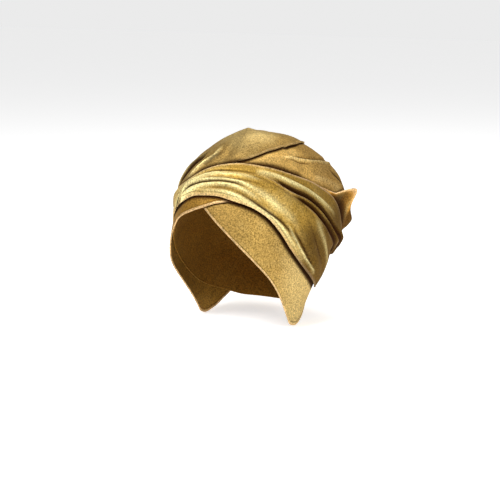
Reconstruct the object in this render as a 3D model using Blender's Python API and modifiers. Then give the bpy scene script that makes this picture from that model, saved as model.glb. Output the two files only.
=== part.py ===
"""Velvet head wrap: a turban wound over a soft cap, in seven shells of stretch velvet.

Metres, +Z up. The origin is where the top of the wearer's head touches the inside of the cap.
The face opening looks along -Y and the wearer's left is +X. A bearing is measured in degrees
round the head from the face (0) over the wearer's left (90) to the back (180). A latitude is
measured in degrees up from the head's widest level, and the top of the head is at 90.
"""

import bpy
import numpy as np

# Driving dimensions of the head that the wrap is shaped on
HEAD_WIDTH = 0.145
HEAD_LENGTH = 0.186
CROWN_HEIGHT = 0.095        # from the head's widest level to its top
HEAD_FULLNESS = 2.3         # 2 is an ellipse, more is squarer
NECK_WIDTH = 0.112
NECK_LENGTH = 0.096
NECK_DEPTH = 0.085          # drop for each radian of latitude below the widest level

# Driving dimensions of the cloth
CLOTH = 0.0012              # stretch velvet
LAYER_GAP = 0.0010          # between one layer of cloth and the next
CAP_EASE = 0.0005           # between the head and the cap
WINDING_BULK = 0.020        # how far the lower winding stands above its own lower edge
CROWN_BULK = 0.040          # how far the crown stands off the head
PEAK_RISE = 0.0035          # the soft point where the crown is pulled up
PEAK_RADIUS = 0.018
FOLD_DEPTH = 0.007          # the deepest fold
FOLD_SPREAD = 0.006         # half width of a fold in the crown
FOLD_SHARE = 0.045          # half width of a fold in the lower winding, a share of its width
FOLD_LEAD = 0.03            # where the cloth starts to drop into a fold, a share of its width
RIM_SLOPE = 0.002           # how fast the crown may rise past the rim, for each degree
TAIL_GAP = 0.003            # between the bunched tail and the upper winding under it
TAIL_FLARE = 0.013          # how far the tail's free corner stands out
TUCK_DROP = 0.006           # how far a hidden edge lies below the edge that covers it

# Driving angles, in degrees
PANEL_TUCK = 9.0            # how far the panels run up under the lower winding
WINDING_TUCK = 7.0          # how far the upper winding and the tail run under the lower winding
DIP_WIDTH = 3.5             # how soon they drop once they are under it
CROWN_TUCK = 7.0            # how far the upper winding runs up under the crown
LEAST_OPEN = 1.0            # the least width of the upper winding between the two
DOME_TOP = 86.0             # the last row of a dome, closed by one point above it
DOME_GRADING = 1.4          # above 1, a dome's rows lie closer together at its edge
CROSSING_STARTS = -34.0     # where the right panel starts to rise over the left one
CROSSING_TAKES = 14.0
CROWN_UNDER_ENDS = 60       # where the crown's edge comes out from under the lower winding's rim
CROWN_UNDER_STARTS = 255    # where it goes back under it
CROWN_CHANGES = (30, 15)    # how far the two changes take
TAIL_UNDER = (88, 182)      # where the tail lies between the lower and the upper winding
TAIL_CHANGES = 14

# Heights of the layers above the head, each on the one before
CAP_LIFT = CAP_EASE
PANEL_LIFT = CAP_LIFT + CLOTH + LAYER_GAP
CROSSED_LIFT = PANEL_LIFT + CLOTH + LAYER_GAP
WINDING_LIFT = CROSSED_LIFT + CLOTH + LAYER_GAP
CONTACT = CLOTH + LAYER_GAP         # from one layer's inner face to the next one's
TAIL_CONTACT = CLOTH + TAIL_GAP     # the same under the tail

# The edge of the cap, hidden under the panels in front and showing at the nape
CAP_EDGE = (
    ("bearing", "edge"),
    (-180, -43), (-145, -42), (-115, -36), (-90, -28), (-76, -19), (-67, -10), (-56, 2),
    (-45, 14), (-30, 29), (-14, 44), (0, 52), (14, 44), (30, 29), (45, 14), (56, 2),
    (67, -10), (76, -19), (90, -28), (115, -36), (145, -42),
)

# The free lower edges of the two panels that frame the face and cross on the forehead
LEFT_PANEL_EDGE = (
    ("bearing", "edge"),
    (-16, 42), (-2.5, 36), (14, 24.5), (25.5, 14.5), (35, 5), (45.5, -7), (55.5, -19.5),
    (67, -33.5), (76, -44), (82, -50), (91, -51.5), (102, -49), (118, -42.5), (146, -29),
)
RIGHT_PANEL_EDGE = (
    ("bearing", "edge"),
    (-146, -29), (-120, -43), (-104, -50), (-92, -52), (-82, -50), (-76, -44), (-67, -33.5),
    (-56, -19), (-48, -7), (-42, 4), (-38, 12), (-32, 20), (-24, 27), (-13, 32), (-2, 36),
    (7.5, 39), (18.5, 40.5), (30, 40), (37, 38.5),
)

# The lower winding: a tilted ring, gathered narrow at the wearer's right temple
WINDING_PATH = (
    ("bearing", "low", "high"),
    (-180, -24, 4), (-150, -22, 8), (-120, -17, 14), (-100, -11, 18), (-80, 0, 25),
    (-65, 13, 31), (-50, 25, 38), (-42, 30, 41), (-26, 37.5, 47), (-12, 42.5, 56),
    (5, 43.5, 61), (23, 40.5, 62.5), (34, 38, 62), (46, 32.5, 61), (56, 23, 60),
    (65, 11, 58.7), (78, -3, 56), (101, -19, 49.3), (113, -25, 42.8), (124, -27.5, 34.5),
    (132, -27, 26.5), (138, -26.5, 17), (143, -26, 8.5), (150, -25.5, 3.5), (162, -25, 3),
)
# Its height above its lower edge, as shares of WINDING_BULK, at shares of its width
WINDING_SHARES = (0.0, 0.15, 0.45, 0.6, 1.0)
WINDING_STAND = (
    ("bearing", "edge", "first", "second", "third", "rim"),
    (-180, -0.04, 0.16, 0.40, 0.80, 0.92), (-150, -0.08, 0.18, 0.42, 0.74, 0.86),
    (-120, -0.10, 0.18, 0.40, 0.58, 0.68), (-85, -0.11, 0.08, 0.24, 0.34, 0.42),
    (-60, -0.11, -0.04, 0.03, 0.11, 0.20), (-45, -0.10, -0.03, 0.06, 0.16, 0.29),
    (-20, 0, 0.20, 0.30, 0.40, 0.48), (0, 0, 0.22, 0.34, 0.43, 0.58),
    (45, 0, 0.22, 0.38, 0.48, 0.62), (90, 0, 0.22, 0.36, 0.50, 0.62),
    (112, -0.03, 0.12, 0.24, 0.52, 0.64), (128, -0.08, 0.04, 0.08, 0.74, 0.76),
    (134, -0.08, 0.03, 0.05, 0.62, 0.80), (141, -0.08, 0.03, 0.05, 0.36, 0.82),
    (148, -0.08, 0.03, 0.08, 0.46, 0.98), (157, -0.06, 0.06, 0.20, 0.60, 0.98),
)
# Its folds: where each runs, as a share of the width, and its depth as a share of FOLD_DEPTH
WINDING_FOLDS = (
    (
        ("bearing", "share", "depth"),
        (-180, 0.25, 0.4), (-90, 0.3, 0.5), (-45, 0.45, 0.5), (-16, 0.41, 0.45), (10, 0.43, 0.35),
        (27, 0.4, 0.2), (45, 0.36, 0.0), (120, 0.2, 0.0), (150, 0.2, 0.3),
    ),
    (
        ("bearing", "share", "depth"),
        (-180, 0.5, 0.8), (-90, 0.55, 0.6), (-45, 0.64, 0.3), (10, 0.68, 0.15), (35, 0.715, 0.1),
        (60, 0.725, 0.1), (72, 0.728, 0.3), (82, 0.722, 0.65), (90, 0.69, 0.9), (98, 0.643, 1.0),
        (106, 0.583, 1.0), (117, 0.531, 0.9), (126, 0.495, 0.8), (132, 0.465, 0.8), (145, 0.45, 0.6),
    ),
    (
        ("bearing", "share", "depth"),
        (-180, 0.75, 0.6), (-90, 0.78, 0.5), (-45, 0.8, 0.3), (-14, 0.8, 0.1), (12, 0.79, 0.1),
        (36, 0.78, 0.15), (52, 0.775, 0.35), (66, 0.778, 0.7), (81, 0.782, 0.9), (89, 0.766, 1.0),
        (96, 0.742, 1.0), (104, 0.692, 1.0), (109, 0.647, 0.9), (117, 0.594, 0.8), (124, 0.56, 0.8),
        (132, 0.527, 0.7), (145, 0.52, 0.6),
    ),
)

# The crown's edge: over the upper winding on the left, under the lower winding elsewhere
CROWN_EDGE = (
    ("bearing", "edge", "stand"),
    (-180, 57, 0.97), (-150, 50, 0.92), (-120, 40, 0.79), (-100, 30, 0.56), (-88, 20, 0.30),
    (-75, 20, 0.24), (-60, 27, 0.23), (-49, 33, 0.24), (-40, 37, 0.26), (-30, 41, 0.28),
    (-20, 46, 0.30), (-8, 54, 0.38), (0, 60, 0.42), (8, 62.5, 0.46), (18, 64.5, 0.5),
    (31, 66, 0.55), (44, 67.5, 0.60), (64, 69.5, 0.68), (86, 70.2, 0.75), (105, 69.3, 0.82),
    (125, 66, 0.88), (146, 60.5, 0.92),
)
# Its height off the head, as shares of CROWN_BULK, at shares of the way up to its top
CROWN_SHARES = (0.0, 0.2, 0.45, 0.75, 1.0)
CROWN_STAND = (
    ("bearing", "first", "second", "third"),
    (-180, 0.96, 0.91, 0.87), (-150, 0.91, 0.89, 0.88), (-120, 0.77, 0.82, 0.85),
    (-100, 0.60, 0.71, 0.80), (-88, 0.44, 0.60, 0.76), (-75, 0.36, 0.53, 0.71),
    (-60, 0.34, 0.51, 0.69), (-46, 0.36, 0.50, 0.70), (-20, 0.42, 0.57, 0.76),
    (0, 0.48, 0.66, 0.83), (20, 0.66, 0.79, 0.88), (43, 0.71, 0.81, 0.88),
    (92, 0.81, 0.86, 0.91), (146, 0.94, 0.91, 0.88),
)
CROWN_TOP = 0.90            # share of CROWN_BULK at the very top
PEAK = (-145, 82)           # bearing and latitude of the soft point
# Folds fanning up from the gather at the right temple, depth as shares of FOLD_DEPTH
CROWN_FOLDS = (
    ("bearing", "latitude", "to_bearing", "to_latitude", "depth"),
    (-46, 40, -42, 54, 0.9),
    (-42, 54, -28, 62, 0.5),
    (-32, 47, -12, 69, -0.4),
    (-66, 32, -72, 66, 0.5),
    (-84, 28, -112, 66, 0.6),
    (-104, 34, -150, 66, 0.5),
)

# The upper winding: a crescent between the lower winding and the crown
UPPER_ENDS = (0, 276)       # bearings where it comes out and goes in again
# Its rise above the lower winding's rim, as shares of CROWN_BULK, at shares of its open width
UPPER_SHARES = (0.0, 0.25, 0.6, 1.0)
UPPER_STAND = (
    ("bearing", "first", "second", "edge"),
    (-180, 0.40, 0.46, 0.43), (-150, 0.33, 0.39, 0.38), (-120, 0.19, 0.24, 0.25),
    (-100, 0.05, 0.06, 0.06), (-86, 0, 0, 0), (-4, 0, 0, 0), (18, 0.03, 0.05, 0.08),
    (30, 0.05, 0.09, 0.13), (43, 0.08, 0.14, 0.18), (64, 0.13, 0.22, 0.25), (90, 0.19, 0.28, 0.33),
    (102, 0.28, 0.42, 0.46), (112, 0.34, 0.46, 0.48), (124, 0.47, 0.52, 0.50),
    (134, 0.61, 0.56, 0.52), (148, 0.49, 0.48, 0.44), (160, 0.48, 0.48, 0.43),
)

# The tail: a gathered end that comes out over the lower winding's rim, with one free corner
TAIL_PATH = (
    ("bearing", "high"),
    (102, 49.4), (112, 44.6), (118, 40.8), (123, 37.2), (127, 34.2), (131, 31), (134, 28.6), (139, 22.5),
    (143, 15.8), (147, 10.5), (152, 7.8), (160, 6.5), (168, 5),
)
# Its rise above the lower winding's rim, as shares of CROWN_BULK, at shares of its open width
TAIL_SHARES = (0.0, 0.3, 0.55, 0.8, 1.0)
TAIL_STAND = (
    ("bearing", "first", "second", "third", "edge"),
    (102, 0, 0, 0, 0), (112, 0, 0, 0.01, 0.02), (120, 0, 0, 0.02, 0.04),
    (128, 0, 0.02, 0.05, 0.09), (132, 0, 0.10, 0.22, 0.32), (135, 0, 0.10, 0.29, 0.46),
    (139, 0, 0.11, 0.27, 0.39), (143, 0, 0.13, 0.32, 0.44), (147, 0, 0.12, 0.29, 0.40),
    (152, 0, 0.11, 0.22, 0.29), (160, 0, 0.06, 0.12, 0.17), (168, 0, 0.02, 0.04, 0.06),
)
TAIL_CORNER = 135           # bearing of the free corner
TAIL_CORNER_SPREAD = 5      # degrees of bearing that the flare takes
TAIL_PLEAT_PITCH = 10       # degrees of bearing from one gather of the tail to the next
TAIL_PLEAT_DEPTH = 0.0012
TAIL_PLEATS_FROM = (1 / 3, 2 / 3)   # the gathers grow between these shares of the open width
TAIL_FLARE_POWER = 4        # above 1, the corner stands out only near the free edge

# Cells round and up each piece's grid. The outer pieces share their columns, which are
# twice as close together where the tail comes out.
CAP_CELLS = (40, 8)
PANEL_CELLS = (30, 5)
COLUMN_STEP = 6
FINE_STEP = 3
FINE_COLUMNS = (126, 156)
WINDING_ROWS = (6, 1, 2, 1, 4)
UPPER_ROWS = (2, 6, 2)
CROWN_ROWS = 9
TAIL_ROWS = (2, 1, 5)

PANEL_VELVET = (0.55, 0.38, 0.14, 1.0)
CROSSED_VELVET = (0.40, 0.25, 0.08, 1.0)
WINDING_VELVET = (0.62, 0.46, 0.19, 1.0)
CROWN_VELVET = (0.53, 0.36, 0.14, 1.0)
UPPER_VELVET = (0.50, 0.34, 0.12, 1.0)
TAIL_VELVET = (0.30, 0.17, 0.05, 1.0)
CAP_VELVET = (0.26, 0.14, 0.04, 1.0)
VELVET_ROUGHNESS = 0.75


def column(table, name):
    """Return one named column of a table as an array."""
    return np.array([row[table[0].index(name)] for row in table[1:]], float)


def smooth_curve(x, nodes, values):
    """Follow values at the nodes with a smooth curve that doesn't overshoot them.

    The slope at each node is the harmonic mean of the slopes beside it, or zero at a crest.
    The last axis of values runs along the nodes, and the last axis of x along the samples.
    """
    step = np.diff(nodes)
    slope = np.diff(values, axis=-1) / step
    before, after = slope[..., :-1], slope[..., 1:]
    same = before * after > 0
    tangent = np.zeros(values.shape)
    tangent[..., 1:-1] = np.where(same, 2 * before * after / np.where(same, before + after, 1), 0)
    tangent[..., 0] = slope[..., 0]
    tangent[..., -1] = slope[..., -1]
    x = np.clip(x, nodes[0], nodes[-1])
    cell = np.clip(np.searchsorted(nodes, x, side="right") - 1, 0, len(step) - 1)
    t = (x - nodes[cell]) / step[cell]
    start, end = pick(values, cell), pick(values, cell + 1)
    leave, arrive = pick(tangent, cell) * step[cell], pick(tangent, cell + 1) * step[cell]
    return start + (end - start) * ease(t) + leave * t * (1 - t) ** 2 - arrive * t * t * (1 - t)


def pick(values, cell):
    """Read values at cells, from one row or from a row for each sample."""
    return values[cell] if values.ndim == 1 else np.take_along_axis(values, cell, -1)


def ease(t):
    """Rise smoothly from 0 to 1."""
    t = np.clip(t, 0, 1)
    return t * t * (3 - 2 * t)


def along(bearing, table, name):
    """Read a table's column at bearings, closing the curve round the head where it is a ring."""
    nodes, values = column(table, "bearing"), column(table, name)
    bearing = np.asarray(bearing, float)
    if nodes[0] == -180:
        nodes = np.concatenate([nodes[-2:] - 360, nodes, nodes[:2] + 360])
        values = np.concatenate([values[-2:], values, values[:2]])
        bearing = (bearing + 180) % 360 - 180
    return smooth_curve(bearing, nodes, values)


def across(bearing, way, shares, table, first=None, last=None):
    """Read a table of heights at shares of the way across, between its bearings' rows."""
    bearing, way = np.broadcast_arrays(bearing, way)
    columns = [along(bearing, table, name) for name in table[0][1:]]
    columns = [column for column in (first, *columns, last) if column is not None]
    heights = np.stack(np.broadcast_arrays(*columns), -1)
    return smooth_curve(way[..., None], np.array(shares), heights)[..., 0]


def on_head(bearing, latitude, lift):
    """Return the point at a height above the head, at a bearing and a latitude.

    Above the widest level the head is a full ellipsoid. Below it, the outline of the widest
    level narrows into the neck as it drops.
    """
    bearing, latitude, lift = np.broadcast_arrays(np.radians(bearing), np.radians(latitude), lift)
    rise, drop = np.maximum(latitude, 0), np.maximum(-latitude, 0)
    side = np.sin(bearing) * np.cos(rise)
    ahead = -np.cos(bearing) * np.cos(rise)
    up = np.sin(rise)
    radius = (np.abs(side / (HEAD_WIDTH / 2)) ** HEAD_FULLNESS
              + np.abs(ahead / (HEAD_LENGTH / 2)) ** HEAD_FULLNESS
              + (up / CROWN_HEIGHT) ** HEAD_FULLNESS) ** (-1 / HEAD_FULLNESS)
    neck = 1 / np.hypot(np.sin(bearing) / (NECK_WIDTH / 2), np.cos(bearing) / (NECK_LENGTH / 2))
    reach = radius + (neck - radius) * ease(drop) + lift
    return np.stack([side * reach, ahead * reach,
                     up * reach - NECK_DEPTH * drop - CROWN_HEIGHT], axis=-1)


def fold_shape(distance, spread):
    """Return a fold's cross section: 1 in its middle and 0 beyond about twice its spread."""
    return np.exp(-(distance / spread) ** 2)


def winding_share(bearing, latitude):
    """Return how far a latitude lies across the lower winding, from its lower edge to its rim."""
    low, high = along(bearing, WINDING_PATH, "low"), along(bearing, WINDING_PATH, "high")
    return np.clip((latitude - low) / (high - low), 0, 1)


def winding_stand(bearing, latitude):
    """Height of the lower winding's inner face above the head, before its folds."""
    share = winding_share(bearing, latitude)
    return WINDING_LIFT + WINDING_BULK * across(bearing, share, WINDING_SHARES, WINDING_STAND)


def winding_lift(bearing, latitude):
    """Height of the lower winding's inner face above the head, folds included."""
    share = winding_share(bearing, latitude)
    lift = winding_stand(bearing, latitude)
    for fold in WINDING_FOLDS:
        depth = FOLD_DEPTH * along(bearing, fold, "depth")
        lift = lift - depth * fold_shape(share - along(bearing, fold, "share"), FOLD_SHARE)
    return np.maximum(lift, WINDING_LIFT - CONTACT)


def rim_lift(bearing):
    """Height of the lower winding's inner face at its upper rim."""
    return winding_lift(bearing, along(bearing, WINDING_PATH, "high"))


def upper_lift(bearing, latitude):
    """Height of the upper winding's inner face above the head.

    It starts one layer below the lower winding's rim, or two where the crown or the tail
    comes between, and it dips again under the crown.
    """
    rim, edge = along(bearing, WINDING_PATH, "high"), along(bearing, CROWN_EDGE, "edge")
    way = (latitude - rim) / np.maximum(edge - rim, LEAST_OPEN)
    round_way = np.asarray(bearing, float) % 360
    crown_between = (ease((CROWN_UNDER_ENDS - round_way) / CROWN_CHANGES[0])
                     + ease((round_way - CROWN_UNDER_STARTS) / CROWN_CHANGES[1]))
    tail_between = (ease((round_way - TAIL_UNDER[0]) / TAIL_CHANGES)
                    * ease((TAIL_UNDER[1] - round_way) / TAIL_CHANGES))
    start = (rim_lift(bearing) - CONTACT * (1 + crown_between)
             - (2 * TAIL_CONTACT - CONTACT) * tail_between)
    rise = CROWN_BULK * across(bearing, np.clip(way, 0, 1), UPPER_SHARES, UPPER_STAND, 0.0)
    past_rim = ease((rim - latitude) / DIP_WIDTH)
    past_edge = ease((latitude - edge) / CROWN_TUCK)
    return start + rise - TUCK_DROP * (past_rim + past_edge)


def crown_lift(bearing, latitude):
    """Height of the crown's inner face above the head, folds and soft point included.

    It lies one layer over the upper winding on the left, and its edge stays one layer under
    the lower winding's rim elsewhere.
    """
    edge, rim = along(bearing, CROWN_EDGE, "edge"), along(bearing, WINDING_PATH, "high")
    way = (latitude - edge) / (90 - edge)
    lift = CROWN_BULK * across(bearing, way, CROWN_SHARES, CROWN_STAND,
                               along(bearing, CROWN_EDGE, "stand"), CROWN_TOP)
    lift = lift + PEAK_RISE * fold_shape(gap_to(bearing, latitude, *PEAK, *PEAK), PEAK_RADIUS)
    for row in CROWN_FOLDS[1:]:
        *line, depth = row
        lift = lift - FOLD_DEPTH * depth * fold_shape(gap_to(bearing, latitude, *line), FOLD_SPREAD)
    deepest = np.maximum(*[along(bearing, fold, "depth") for fold in WINDING_FOLDS[1:]])
    below_rim = (winding_stand(bearing, latitude) - FOLD_DEPTH * deepest - CONTACT
                 + RIM_SLOPE * np.maximum(latitude - rim, 0))
    return np.maximum(np.minimum(lift, below_rim), upper_lift(bearing, latitude) + CONTACT)


def direction(bearing, latitude):
    """Return the unit direction of a bearing and a latitude."""
    bearing, latitude = np.radians(bearing), np.radians(latitude)
    return np.stack(np.broadcast_arrays(np.sin(bearing) * np.cos(latitude),
                                        -np.cos(bearing) * np.cos(latitude), np.sin(latitude)), -1)


def gap_to(bearing, latitude, from_bearing, from_latitude, to_bearing, to_latitude):
    """Return the distance over the head from a place to the straight fold between two others.

    The two may be one place, and then the distance is to that place.
    """
    place = direction(bearing, latitude)
    start, end = direction(from_bearing, from_latitude), direction(to_bearing, to_latitude)
    run = end - start
    length = run @ run
    share = np.clip((place - start) @ run / length, 0, 1) if length > 0 else np.zeros(place.shape[:-1])
    nearest = start + share[..., None] * run
    return np.linalg.norm(place - nearest, axis=-1) * CROWN_HEIGHT


def make_shell(name, points, colour, ring=False, domed=False):
    """Make a cloth piece from its inner face, a grid of rows upward and columns round."""
    rows, columns = points.shape[:2]
    vertices = points.reshape(-1, 3).tolist()
    faces = []
    for row in range(rows - 1):
        for col in range(columns if ring else columns - 1):
            here, following = row * columns + col, row * columns + (col + 1) % columns
            faces.append((here, following, following + columns, here + columns))
    if domed:
        vertices.append(points[-1].mean(axis=0).tolist())
        base = (rows - 1) * columns
        faces += [(base + col, base + (col + 1) % columns, len(vertices) - 1)
                  for col in range(columns)]
    mesh = bpy.data.meshes.new(name)
    mesh.from_pydata(vertices, [], faces)
    mesh.shade_smooth()
    mesh.materials.append(velvet(name, colour))
    piece = bpy.data.objects.new(name, mesh)
    wall = piece.modifiers.new("cloth", "SOLIDIFY")
    wall.thickness = CLOTH
    wall.offset = 1.0
    wrap.objects.link(piece)
    return piece


def velvet(name, colour):
    """Make a piece's own velvet."""
    material = bpy.data.materials.new(name)
    material.use_nodes = True
    shader = material.node_tree.nodes["Principled BSDF"]
    shader.inputs["Base Color"].default_value = colour
    shader.inputs["Roughness"].default_value = VELVET_ROUGHNESS
    shader.inputs["Metallic"].default_value = 0.0
    return material


def rows_between(marks, counts):
    """Return rows of latitudes between the marked ones, with a count of cells in each band."""
    rows = [marks[0]]
    for low, high, count in zip(marks[:-1], marks[1:], counts):
        rows += [low + (high - low) * step / count for step in range(1, count + 1)]
    return np.array(rows)


def shared_columns(first, last):
    """Return the bearings of the columns that the outer pieces share, from first to last."""
    coarse = np.arange(first, last + 1, COLUMN_STEP)
    outside = coarse[(coarse < FINE_COLUMNS[0]) | (coarse > FINE_COLUMNS[1])]
    return np.sort(np.concatenate([outside, np.arange(FINE_COLUMNS[0], FINE_COLUMNS[1] + 1, FINE_STEP)]))


def graded_rows(edge, count):
    """Return rows of latitudes from an edge to the dome's top, closest together at the edge."""
    way = np.linspace(0, 1, count)[:, None] ** DOME_GRADING
    return edge + (DOME_TOP - edge) * way


def make_cap():
    """The soft cap under everything, open at the face and the neck."""
    around, up = CAP_CELLS
    bearing = np.linspace(-180, 180, around, endpoint=False)
    edge = along(bearing, CAP_EDGE, "edge")
    latitude = graded_rows(edge, up)
    make_shell("cap", on_head(bearing, latitude, CAP_LIFT), CAP_VELVET, ring=True, domed=True)


def make_panel(name, table, crossed_lift, colour):
    """A band that frames the face, from its free edge up under the lower winding.

    It lies on the cap, and rises to its crossed height where the two panels cross.
    """
    around, up = PANEL_CELLS
    bearing = np.linspace(table[1][0], table[-1][0], around + 1)
    low = along(bearing, table, "edge")
    high = along(bearing, WINDING_PATH, "low") + PANEL_TUCK
    latitude = rows_between([low, high], [up])
    crossing = ease((bearing - CROSSING_STARTS) / CROSSING_TAKES)
    lift = PANEL_LIFT + (crossed_lift - PANEL_LIFT) * crossing
    make_shell(name, on_head(bearing, latitude, lift), colour)


def make_lower_winding():
    """The gathered ring that runs from the forehead down over the ears to the nape."""
    bearing = shared_columns(-180, 180 - COLUMN_STEP)
    low, high = along(bearing, WINDING_PATH, "low"), along(bearing, WINDING_PATH, "high")
    marks = [low]
    for fold in WINDING_FOLDS[1:]:
        share = along(bearing, fold, "share")
        marks += [low + (high - low) * (share - FOLD_LEAD), low + (high - low) * share]
    latitude = rows_between([*marks, high], WINDING_ROWS)
    make_shell("lower_winding", on_head(bearing, latitude, winding_lift(bearing, latitude)),
               WINDING_VELVET, ring=True)


def make_upper_winding():
    """The crescent of cloth between the lower winding and the crown."""
    bearing = shared_columns(*UPPER_ENDS)
    rim, edge = along(bearing, WINDING_PATH, "high"), along(bearing, CROWN_EDGE, "edge")
    edge = np.maximum(edge, rim + LEAST_OPEN)
    latitude = rows_between([rim - WINDING_TUCK, rim, edge, edge + CROWN_TUCK], UPPER_ROWS)
    make_shell("upper_winding", on_head(bearing, latitude, upper_lift(bearing, latitude)),
               UPPER_VELVET)


def make_crown():
    """The cloth drawn over the top of the head, gathered at the right temple."""
    bearing = shared_columns(-180, 180 - COLUMN_STEP)
    latitude = graded_rows(along(bearing, CROWN_EDGE, "edge"), CROWN_ROWS)
    make_shell("crown_drape", on_head(bearing, latitude, crown_lift(bearing, latitude)),
               CROWN_VELVET, ring=True, domed=True)


def tail_lift(bearing, latitude):
    """Height of the tail's inner face: over the upper winding, then rising to its free edge."""
    rim, high = along(bearing, WINDING_PATH, "high"), along(bearing, TAIL_PATH, "high")
    way = np.clip((latitude - rim) / (high - rim), 0, 1)
    rise = CROWN_BULK * across(bearing, way, TAIL_SHARES, TAIL_STAND, 0.0)
    grown = ease((way - TAIL_PLEATS_FROM[0]) / (TAIL_PLEATS_FROM[1] - TAIL_PLEATS_FROM[0]))
    gather = TAIL_PLEAT_DEPTH * np.cos(2 * np.pi * bearing / TAIL_PLEAT_PITCH) * grown
    flare = (TAIL_FLARE * fold_shape(bearing - TAIL_CORNER, TAIL_CORNER_SPREAD)
             * way ** TAIL_FLARE_POWER)
    over_upper = upper_lift(bearing, latitude) + TAIL_CONTACT
    free = rim_lift(bearing) - TAIL_CONTACT + rise + gather + flare
    return np.where(way > 0, np.maximum(free, over_upper), over_upper)


def make_tail():
    """The free end of the cloth, pulled out at the back on the wearer's left."""
    bearing = shared_columns(TAIL_PATH[1][0], TAIL_PATH[-1][0])
    rim, high = along(bearing, WINDING_PATH, "high"), along(bearing, TAIL_PATH, "high")
    marks = [rim - WINDING_TUCK, rim, rim + (high - rim) * TAIL_SHARES[1], high]
    latitude = rows_between(marks, TAIL_ROWS)
    make_shell("tail_end", on_head(bearing, latitude, tail_lift(bearing, latitude)), TAIL_VELVET)


for old in list(bpy.data.objects):
    bpy.data.objects.remove(old, do_unlink=True)
wrap = bpy.data.collections.new("velvet_head_wrap")
bpy.context.scene.collection.children.link(wrap)

make_cap()
make_panel("front_panel_left", LEFT_PANEL_EDGE, PANEL_LIFT, PANEL_VELVET)
make_panel("front_panel_right", RIGHT_PANEL_EDGE, CROSSED_LIFT, CROSSED_VELVET)
make_lower_winding()
make_upper_winding()
make_crown()
make_tail()
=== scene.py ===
"""Velvet head wrap, shown as it is worn: a soft cap, two crossed panels, two windings, a draped
crown and a pulled-out tail, all in gold stretch velvet.

Metres, +Z up. The origin is where the top of the wearer's head touches the inside of the cap.
A bearing is in degrees round the head from the face (0) over the wearer's left (90) to the
back (180). A latitude is in degrees up from the head's widest level.
"""

import bpy
import numpy as np
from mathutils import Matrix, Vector


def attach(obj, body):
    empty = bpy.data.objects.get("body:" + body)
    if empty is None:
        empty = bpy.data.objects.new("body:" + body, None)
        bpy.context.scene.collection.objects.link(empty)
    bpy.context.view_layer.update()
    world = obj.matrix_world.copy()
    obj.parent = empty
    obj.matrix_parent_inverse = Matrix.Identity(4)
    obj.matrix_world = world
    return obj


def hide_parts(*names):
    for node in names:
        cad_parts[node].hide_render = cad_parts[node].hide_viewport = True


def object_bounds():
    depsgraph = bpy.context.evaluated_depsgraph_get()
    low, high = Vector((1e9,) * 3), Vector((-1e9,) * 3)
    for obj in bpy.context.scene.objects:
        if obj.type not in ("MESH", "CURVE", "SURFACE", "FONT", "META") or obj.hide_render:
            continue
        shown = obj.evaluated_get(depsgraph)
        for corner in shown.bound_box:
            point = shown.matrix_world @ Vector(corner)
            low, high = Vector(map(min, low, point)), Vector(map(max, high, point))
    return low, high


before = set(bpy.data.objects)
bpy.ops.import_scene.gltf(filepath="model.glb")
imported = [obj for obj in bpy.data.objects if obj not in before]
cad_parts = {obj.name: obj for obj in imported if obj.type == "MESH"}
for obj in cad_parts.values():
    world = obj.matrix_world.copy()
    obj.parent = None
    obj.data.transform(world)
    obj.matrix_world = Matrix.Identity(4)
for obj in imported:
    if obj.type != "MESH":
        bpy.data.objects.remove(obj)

cad_box = [list(corner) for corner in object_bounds()]


# Camera. It looks at the wearer's left front from a little above the brow.
CAMERA_PLACE = Vector((0.86618, -1.33132, 0.21429))
CAMERA_AIM = Vector((0.01077, -0.0141, -0.09101))
CAMERA_LENS = 104.7

camera = bpy.data.objects.new("camera", bpy.data.cameras.new("camera"))
camera.location = CAMERA_PLACE
camera.rotation_mode = "QUATERNION"
camera.rotation_quaternion = (CAMERA_AIM - CAMERA_PLACE).to_track_quat("-Z", "Y")
camera.data.lens = CAMERA_LENS
bpy.context.scene.collection.objects.link(camera)
bpy.context.scene.camera = camera


# Studio. A wide flat pale floor under a pale sky, and three soft lights: a key from the front
# and above, a weaker fill from the wearer's left and a rim light from above and behind.
FLOOR_LEVEL = cad_box[0][2] - 0.001
FLOOR_HALF = 6.0
FLOOR_WHITE = (0.90, 0.90, 0.90, 1.0)
FLOOR_ROUGHNESS = 0.9
FLOOR_GLOW = 0.62           # keeps the far floor as pale as the near floor
WORLD_WHITE = (1.0, 1.0, 1.0, 1.0)
WORLD_SEEN = 0.83           # how bright the backdrop looks
WORLD_LIGHT = 0.30          # how much it lights
LIT_POINT = Vector((0.0, 0.01, -0.06))      # the middle of the wrap, which the lights face
LIGHTS = (
    ("name", "bearing", "elevation", "distance", "size", "watts"),
    ("key", -8, 50, 1.6, 0.50, 21.5),
    ("fill", 75, 22, 2.0, 0.8, 14.0),
    ("rim", 190, 60, 1.6, 0.6, 9.0),
)


def make_floor():
    """Lay the floor: a flat square, whose level is the same everywhere."""
    mesh = bpy.data.meshes.new("floor")
    corners = [(x * FLOOR_HALF, y * FLOOR_HALF, FLOOR_LEVEL)
               for x, y in ((-1, -1), (1, -1), (1, 1), (-1, 1))]
    mesh.from_pydata(corners, [], [(0, 1, 2, 3)])
    floor = bpy.data.objects.new("floor", mesh)
    paint = bpy.data.materials.new("pale floor")
    paint.use_nodes = True
    shader = paint.node_tree.nodes["Principled BSDF"]
    shader.inputs["Base Color"].default_value = FLOOR_WHITE
    shader.inputs["Roughness"].default_value = FLOOR_ROUGHNESS
    shader.inputs["Emission Color"].default_value = FLOOR_WHITE
    shader.inputs["Emission Strength"].default_value = FLOOR_GLOW
    mesh.materials.append(paint)
    bpy.context.scene.collection.objects.link(floor)


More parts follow.
